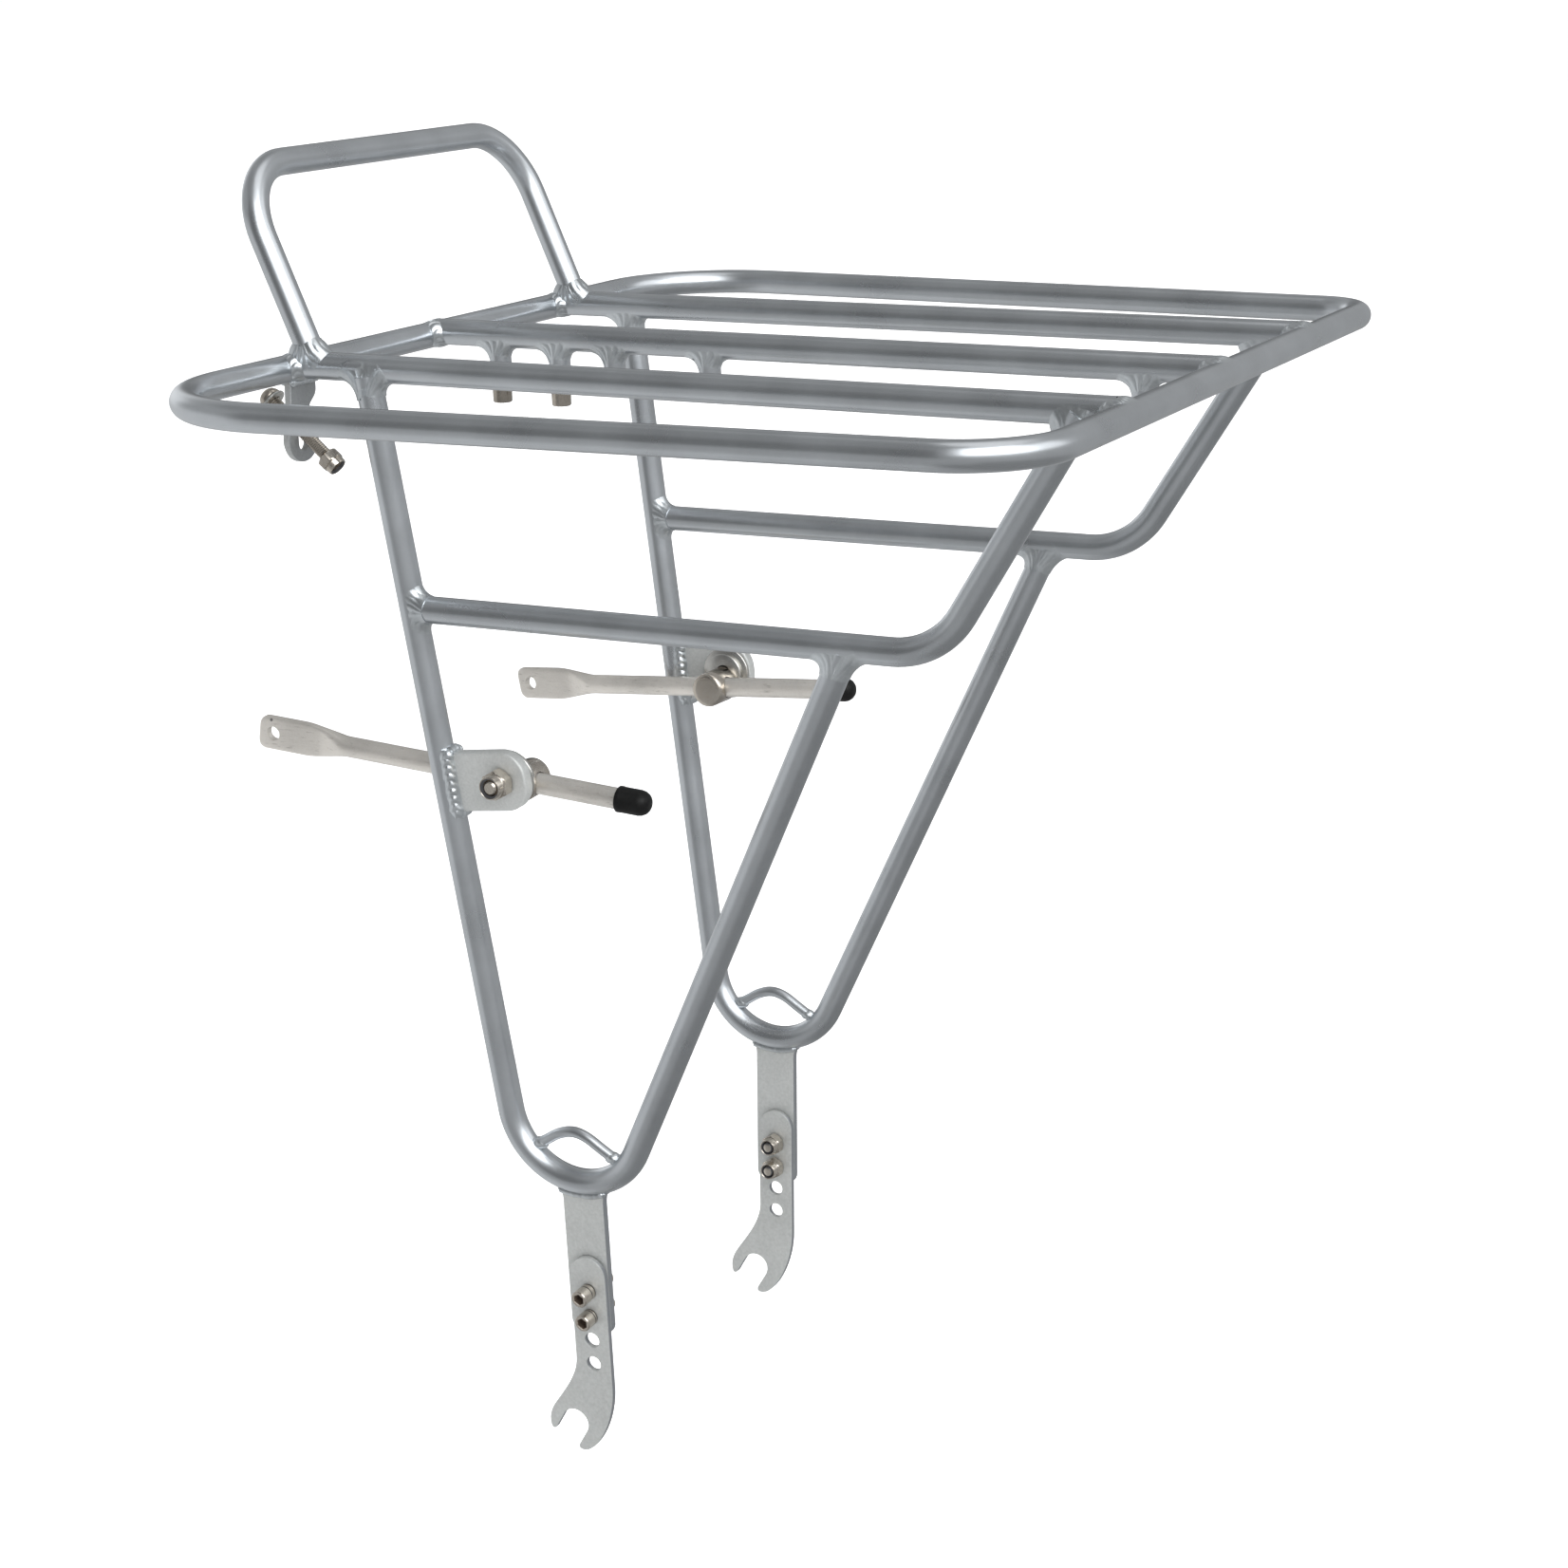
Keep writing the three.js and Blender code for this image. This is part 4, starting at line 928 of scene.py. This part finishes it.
def build_dropout_plate(name, foot):
    """A plate with a round top, a row of holes and a foot that ends in an open slot."""
    low_x, high_x = PLATE_X - PLATE_HALF, PLATE_X + PLATE_HALF
    outline = [(low_x, -382.5)]
    outline += arc(PLATE_X, PLATE_TOP - PLATE_HALF, PLATE_HALF, math.pi, 0, 32)
    outline += [(high_x, -393)]
    outline += bezier((high_x, -393), (high_x, -404), (105.2, -417.5), (98.3, -422.5))
    outline += bezier((98.3, -422.5), (96.1, -424.2), (92.1, -424.4), (93.2, -421.6))
    outline += arc(SLOT_X, SLOT_Z, SLOT_R, -math.pi / 6, math.pi * 5 / 6, 28)
    # the slot's low-X edge runs on from the arc, 30 degrees off upright
    run, sine, cosine = 6.9, 0.5, 0.866
    tip = (SLOT_X - cosine * SLOT_R - sine * run, SLOT_Z + sine * SLOT_R - cosine * run)
    outline += [tip]
    outline += bezier(tip, (83.1, -416.7), (81.5, -417.9), (80.8, -416.2))
    outline += bezier((80.8, -416.2), (79.9, -413.2), (80.5, -409.6), (83.1, -405.8))
    outline += bezier((83.1, -405.8), (87.0, -399.8), (low_x - 0.2, -391),
                      (low_x, -382.5))[:-1]
    beside_tab = Matrix.Translation((0, -TAB_T / 2 - GAP - PLATE_T / 2, 0))
    outline_plate(f"dropout_plate_{name}", outline, [circle(PLATE_X, z, HOLE_R) for z in HOLE_Z],
                  PLATE_T, foot @ beside_tab @ DRAWN_IN_XZ, FOOT_PLATE, bevel=0.4)


def build_stay_tab(name, frame):
    half, corner = STAY_TAB_HALF, STAY_TAB_CORNER
    outline = [(3.5, half), (3.5, -half)]       # out, up
    outline += arc(STAY_TAB_END - corner, corner - half, corner, -math.pi / 2, 0, 13)
    outline += arc(STAY_TAB_END - corner, half - corner, corner, 0, math.pi / 2, 13)
    outline_plate(f"stay_tab_{name}", [stay_tab_point(*point) for point in outline],
                  [circle(*stay_tab_point(STAY_BOLT_OUT, 0), BOLT_CLEAR)], STAY_TAB_T,
                  frame @ DRAWN_IN_XZ, PLATE, bevel=0.9)


def build_dropout_screws(name, side, foot):
    """Two socket-head screws with their heads outboard and lock nuts inboard."""
    right_face, left_face = -TAB_T / 2 - GAP - PLATE_T - GAP, TAB_T / 2 + GAP
    head_face, nut_face = (right_face, left_face) if side < 0 else (left_face, right_face)
    nut_end = nut_face - side * DROPOUT_NUT_H
    inner = abs(nut_end - head_face) - 0.1
    for number, (z, head) in enumerate(zip(HOLE_Z, SCREW_HEADS), 1):
        neck = head - 5.0
        profile = [
            (head - 3.3, 0.01), (head - 3.3, 0, 3.6), (head - 0.3, 0, 3.7), (head, 0, 4.1),
            (head, 2.95), (head - 0.35, 3.3), (neck + 0.5, 3.35), (neck + 0.2, 3.1),
            (neck, 2.6), (neck - 0.1, 2.6), (neck - 0.2, 3.2), (0.15, 3.25), (0.0, 2.9),
            (0.0, 2.4)]
        profile += thread(-0.4, -inner + 0.5, 2.45, depth=0.25)
        # 0 steel, 1 near-black painted shade in the groove under the head and on the far end, 2
        # socket with painted shade
        faces = [2, 2] + [0] * 6 + [1, 1] + [0] * (len(profile) - 11) + [1, 1, 0]
        profile += [(-inner + 0.3, 2.15), (-inner - 0.1, 1.75), (-inner - 0.15, 1.6)]
        turned(f"dropout_screw_{name}_{number}", vec(PLATE_X, head_face, z), Y_AXIS * side,
               profile, 48, foot, [STEEL, NYLON_AND_PAINTED_SHADE, PAINTED_RECESS_SHADE], faces=faces)
        build_lock_nut(f"dropout_nut_{name}_{number}", vec(PLATE_X, 0, z), Y_AXIS, nut_face,
                       nut_end, flats=8.0, collar=3.6, hole=2.6, frame=foot)


# ---------------------------------------------------------------- stays
def build_clamp(name, frame, bolt, inboard, eye, stay_axis):
    """The eye bolt with two washers inboard of the stay tab and a lock nut outboard."""
    body = f"stay_clamp_{name}"
    face = STAY_TAB_T / 2
    build_washer(f"clamp_washer_large_{name}", bolt, inboard, face + GAP,
                 face + GAP + CLAMP_WASHER_T, 10.4, BOLT_CLEAR, frame, body)
    build_washer(f"clamp_washer_small_{name}", bolt, inboard, face + 2 * GAP + CLAMP_WASHER_T,
                 CLAMP_WASHER_END, 8.0, BOLT_CLEAR, frame, body)
    build_lock_nut(f"clamp_nut_{name}", bolt, inboard, -face - GAP, -face - GAP - CLAMP_NUT_H,
                   flats=10.0, collar=4.5, hole=3.05, frame=frame, body=body)
    head = bmesh.new()
    profile = [(6.8, 0.01), (6.8, EYE_R - 0.9), (7.0, EYE_R - 0.35), (7.6, EYE_R),
               (19.3, EYE_R), (20.1, EYE_R - 0.2), (20.6, EYE_R - 0.6), (20.9, EYE_R - 1.2),
               (21.0, EYE_R - 2.2), (21.0, 0.01)]
    revolve(head, vec(eye.x, 0, eye.z), inboard, profile, 56)
    cutter = bmesh.new()
    revolve(cutter, eye, stay_axis, [(-14, STAY_BORE + 0.02), (14, STAY_BORE + 0.02)], 40)
    mesh = bored(head, cutter)
    shank = [(7.6, 2.9), (5.2, 3.0)] + thread(4.8, -9.6, 3.0, depth=0.3, pitch=1.0)
    revolve(mesh, bolt, inboard, shank + [(-10.0, 2.7), (-10.6, 2.1)], 40)
    finish_piece(f"eye_bolt_{name}", mesh, frame, [STEEL], body=body, slot="fastener_steel",
                 sharp=40)


def smoothstep(value):
    value = min(1.0, max(0.0, value))
    return value * value * (3 - 2 * value)


def stay_section(distance):
    """Half width, half thickness and squareness of the stay at a distance from its flat tip."""
    widening = smoothstep((FLAT_LENGTH + 4 - distance) / 20.0)
    half_width = STAY_R + (FLAT_HALF - STAY_R) * widening
    flattening = smoothstep((FLAT_LENGTH + 3 - distance) / 13.0)
    half_thick = STAY_R + (FLAT_T / 2 - STAY_R) * flattening
    if distance < FLAT_CORNER:
        rise = math.sqrt(1 - (1 - distance / FLAT_CORNER) ** 2)
        half_width += FLAT_CORNER * rise - FLAT_CORNER
    if distance < 1.0:
        half_thick += 0.6 * math.sqrt(1 - (1 - distance) ** 2) - 0.6
    return half_width, half_thick, 2 + 3.2 * flattening


# distances of the stay's sections from its tip
STAY_STATIONS = (
    [FLAT_CORNER * (1 - math.cos(math.pi / 2 * k / 12)) for k in range(13)]
    + list(np.linspace(5, FLAT_LENGTH - 16, 7))
    + list(np.linspace(FLAT_LENGTH - 15, FLAT_LENGTH + 5, 22))
    + list(np.linspace(FLAT_LENGTH + 12, STAY_LENGTH - 4, 14))
    + [STAY_LENGTH - 2.0])


def superellipse(value, power):
    return math.copysign(abs(value) ** (2 / power), value)


def build_stay_rod(name, side, frame, cap_end):
    """Round bar along X, pressed flat at its low-X end, with a hole through the flat."""
    tip_x = cap_end - STAY_LENGTH
    rings = []
    for distance in STAY_STATIONS:
        half_width, half_thick, power = stay_section(distance)
        skew = max(0.0, 1 - distance / 14)      # the tip is cut slightly out of square
        ring = []
        for k in range(48):
            angle = 2 * math.pi * k / 48
            z = half_width * superellipse(math.sin(angle), power)
            ring.append(vec(tip_x + distance - side * 0.7 * z / FLAT_HALF * skew,
                            half_thick * superellipse(math.cos(angle), power), z))
        rings.append(ring)
    bar = bmesh.new()
    loft(bar, rings)
    cutter = bmesh.new()
    revolve(cutter, vec(tip_x + FLAT_HOLE_X, 0, 0), Y_AXIS,
            [(-5, FLAT_HOLE_R), (5, FLAT_HOLE_R)], 36)
    finish_piece(f"stay_rod_{name}", bored(bar, cutter), frame, [STAY_STEEL],
                 body=f"stay_{name}", slot="stay_steel", sharp=45)


def build_stay_cap(name, frame, end):
    start = end - CAP_LENGTH
    profile = [
        (start + 0.1, 4.02), (start, 4.3), (start, CAP_R - 0.25), (start + 0.25, CAP_R),
        (start + 1.5, CAP_R), (start + 1.8, CAP_R - 0.12), (end - 4.4, CAP_R - 0.1),
        (end - 2.8, CAP_R - 0.4), (end - 1.5, CAP_R - 1.1), (end - 0.65, CAP_R - 2.0),
        (end - 0.2, CAP_R - 2.9), (end - 0.03, CAP_R - 3.8), (end, 0.01)]
    turned(f"stay_cap_{name}", vec(0, 0, 0), X_AXIS, profile, 56, frame, [RUBBER],
           body=f"stay_{name}", slot="cap_rubber", sharp=50)


def build_stay(name, side, frame):
    pitch, cap_end = STAY[name]
    bolt_x, bolt_z = stay_tab_point(STAY_BOLT_OUT, 0)
    eye = vec(bolt_x, -side * EYE_IN, bolt_z - EYE_DROP)
    along = vec(math.cos(pitch) * math.cos(STAY_TOE),
                -side * math.cos(pitch) * math.sin(STAY_TOE), math.sin(pitch))
    build_clamp(name, frame, vec(bolt_x, 0, bolt_z), vec(0, -side, 0), eye, along)
    upward = reject(Z_AXIS, along).normalized()
    across = upward.cross(along)
    turn = Matrix((along, across, upward)).transposed().to_4x4()
    stay_frame = frame @ Matrix.Translation(eye) @ turn
    build_stay_rod(name, side, stay_frame, cap_end)
    build_stay_cap(name, stay_frame, cap_end)


def build_side(name, side):
    """One side frame in its own leaning frame; side is 1 on the left and -1 on the right."""
    frame = (DECK @ Matrix.Translation((0, side * SIDE_Y, 0))
             @ Matrix.Rotation(-side * math.atan(SIDE_LEAN), 4, "X"))
    shift_x, shift_z = FOOT_SHIFT[name]
    foot = frame @ Matrix.Translation((shift_x, 0, shift_z))
    build_side_rods(name, frame)
    build_side_welds(name, side, frame)
    rod(f"foot_bridge_{name}", spline_path([vec(x, 0, z) for x, z in BRIDGE_POINTS]), frame,
        radius=BRIDGE_R, sides=24)
    build_foot_tab(name, frame)
    build_dropout_plate(name, foot)
    build_stay_tab(name, frame)
    build_dropout_screws(name, side, foot)
    build_stay(name, side, frame)


# ---------------------------------------------------------------- build the rack
build_deck()
build_hoop()
for number, x in enumerate(BOSS_X, 1):
    stored = number <= STORED_SCREWS
    build_boss(number, x, stored)
    if stored:
        build_stored_screw(number, x)
build_lamp_bracket()
build_lamp_bolt()
build_side("left", 1)
build_side("right", -1)
finish_mesh("weld_deck_nodes", deck_welds, DECK, [WELD])
finish_mesh("weld_hoop_feet", hoop_welds, DECK, [WELD])
finish_mesh("weld_bosses", boss_welds, DECK, [WELD])


# ---------------------------------------------------------------- floor
def build_floor():
    """A pale disc just below the rack that glows a little and is hidden from reflections."""
    data = bpy.data.meshes.new("floor")
    mesh = bmesh.new()
    bmesh.ops.create_circle(mesh, cap_ends=True, radius=9.0, segments=96)
    mesh.to_mesh(data)
    mesh.free()
    floor = bpy.data.objects.new("floor", data)
    floor.location = (0, 0, -0.0005)
    bpy.context.scene.collection.objects.link(floor)
    material = bpy.data.materials.new("pale_floor")
    material.use_nodes = True
    shader = material.node_tree.nodes["Principled BSDF"]
    for key, value in {"Base Color": (0.93, 0.93, 0.93, 1), "Roughness": 0.9,
                       "Specular IOR Level": 0.0, "Emission Color": (1, 1, 1, 1),
                       "Emission Strength": 0.75}.items():
        shader.inputs[key].default_value = value
    data.materials.append(material)
    floor.visible_glossy = False


# ---------------------------------------------------------------- world
BASE_LEVEL = 0.41
# soft-edged panels round the rack, each laid over those before it:
# level, azimuth from +X towards +Y, elevation, half width, half height, edge width (degrees)
PANELS = [
    (0.26, -5, -90, 95, 50, 16),
    (0.68, -175, -30, 36, 26, 18),
    (0.40, -90, -22, 24, 16, 16),
    (0.17, -112, 30, 14, 30, 14),
    (0.27, -150, 60, 40, 12, 14),
    (0.28, 125, 57, 18, 12, 12),
    (0.14, 117, 7, 10, 8, 8),
    (1.05, 150, 10, 10, 8, 9),
    (1.35, 22, 30, 14, 11, 12),
    (2.6, -36, 38, 34, 20, 9),
]


def build_world():
    """A studio of panels for light and reflections; the camera itself sees plain white."""
    world = bpy.data.worlds.new("studio")
    bpy.context.scene.world = world
    world.use_nodes = True
    tree = world.node_tree
    tree.nodes.clear()
    coords = add_node(tree, "TexCoord")
    ray = add_node(tree, "SeparateXYZ", {"Vector": coords.outputs["Generated"]}).outputs

    def calc(operation, *values):
        return math_node(tree, operation, *values)

    elevation = calc("ARCSINE", ray["Z"])

    def fade(offset, half, soft):
        """1 within half degrees, falling to 0 over the next soft degrees."""
        inputs = {"From Min": math.radians(half + soft), "From Max": math.radians(half),
                  "Value": offset}
        return add_node(tree, "MapRange", inputs,
                        interpolation_type="SMOOTHSTEP").outputs["Result"]

    def panel(azimuth, height, half_width, half_height, soft):
        cosine, sine = math.cos(math.radians(azimuth)), math.sin(math.radians(azimuth))
        ahead = calc("ADD", calc("MULTIPLY", ray["X"], cosine), calc("MULTIPLY", ray["Y"], sine))
        aside = calc("SUBTRACT", calc("MULTIPLY", ray["Y"], cosine),
                     calc("MULTIPLY", ray["X"], sine))
        sideways = calc("ABSOLUTE", calc("ARCTAN2", aside, ahead))
        upright = calc("ABSOLUTE", calc("SUBTRACT", elevation, math.radians(height)))
        return calc("MULTIPLY", fade(sideways, half_width, soft),
                    fade(upright, half_height, soft))

    level = BASE_LEVEL
    for panel_level, *shape in PANELS:
        inputs = {"Factor": panel(*shape), "A": level, "B": panel_level}
        level = add_node(tree, "Mix", inputs, data_type="FLOAT").outputs["Result"]
    light_path = add_node(tree, "LightPath")
    studio = add_node(tree, "Background", {"Color": (0.975, 0.99, 1.0, 1), "Strength": level})
    plain = add_node(tree, "Background", {"Color": (1, 1, 1, 1), "Strength": 1.02})
    mix = add_node(tree, "MixShader", {"Fac": light_path.outputs["Is Camera Ray"],
                                       1: studio.outputs["Background"],
                                       2: plain.outputs["Background"]})
    add_node(tree, "OutputWorld", {"Surface": mix.outputs["Shader"]})


# ---------------------------------------------------------------- lights and camera
def disk_light(name, location, target, size, power):
    light = bpy.data.lights.new(name, "AREA")
    light.shape = "DISK"
    light.size = size
    light.energy = power
    holder = bpy.data.objects.new(name, light)
    holder.location = location
    aim = Vector(target) - Vector(location)
    holder.rotation_euler = aim.to_track_quat("-Z", "Y").to_euler()
    bpy.context.scene.collection.objects.link(holder)


def build_camera():
    """A camera off the open end on the right, looking slightly down."""
    heading, dip, roll = math.radians(28.1414), math.radians(16.8517), math.radians(-1.5011)
    place = ORIGIN + vec(639.49, -916.14, 149.90) / 1000     # mm from the deck's origin
    forward = vec(-math.sin(heading) * math.cos(dip), math.cos(heading) * math.cos(dip),
                  -math.sin(dip))
    level_right = vec(math.cos(heading), math.sin(heading), 0)
    level_up = level_right.cross(forward)
    right = level_right * math.cos(roll) + level_up * math.sin(roll)
    upward = -level_right * math.sin(roll) + level_up * math.cos(roll)
    data = bpy.data.cameras.new("camera")
    data.sensor_width = 36.0
    data.lens = 65.3352058
    data.clip_start = 0.05
    data.clip_end = 50
    camera = bpy.data.objects.new("camera", data)
    turn = Matrix((right, upward, -forward)).transposed().to_4x4()
    camera.matrix_world = Matrix.Translation(place) @ turn
    bpy.context.scene.collection.objects.link(camera)
    bpy.context.scene.camera = camera


build_floor()
bpy.context.scene.view_settings.view_transform = "Standard"
build_world()
disk_light("key", location=(1.53, -1.11, 1.78), target=(0, 0, 0.3), size=1.2, power=9)
disk_light("top", location=(0.3, 0.2, 2.4), target=(0, 0, 0.2), size=1.6, power=4)
build_camera()
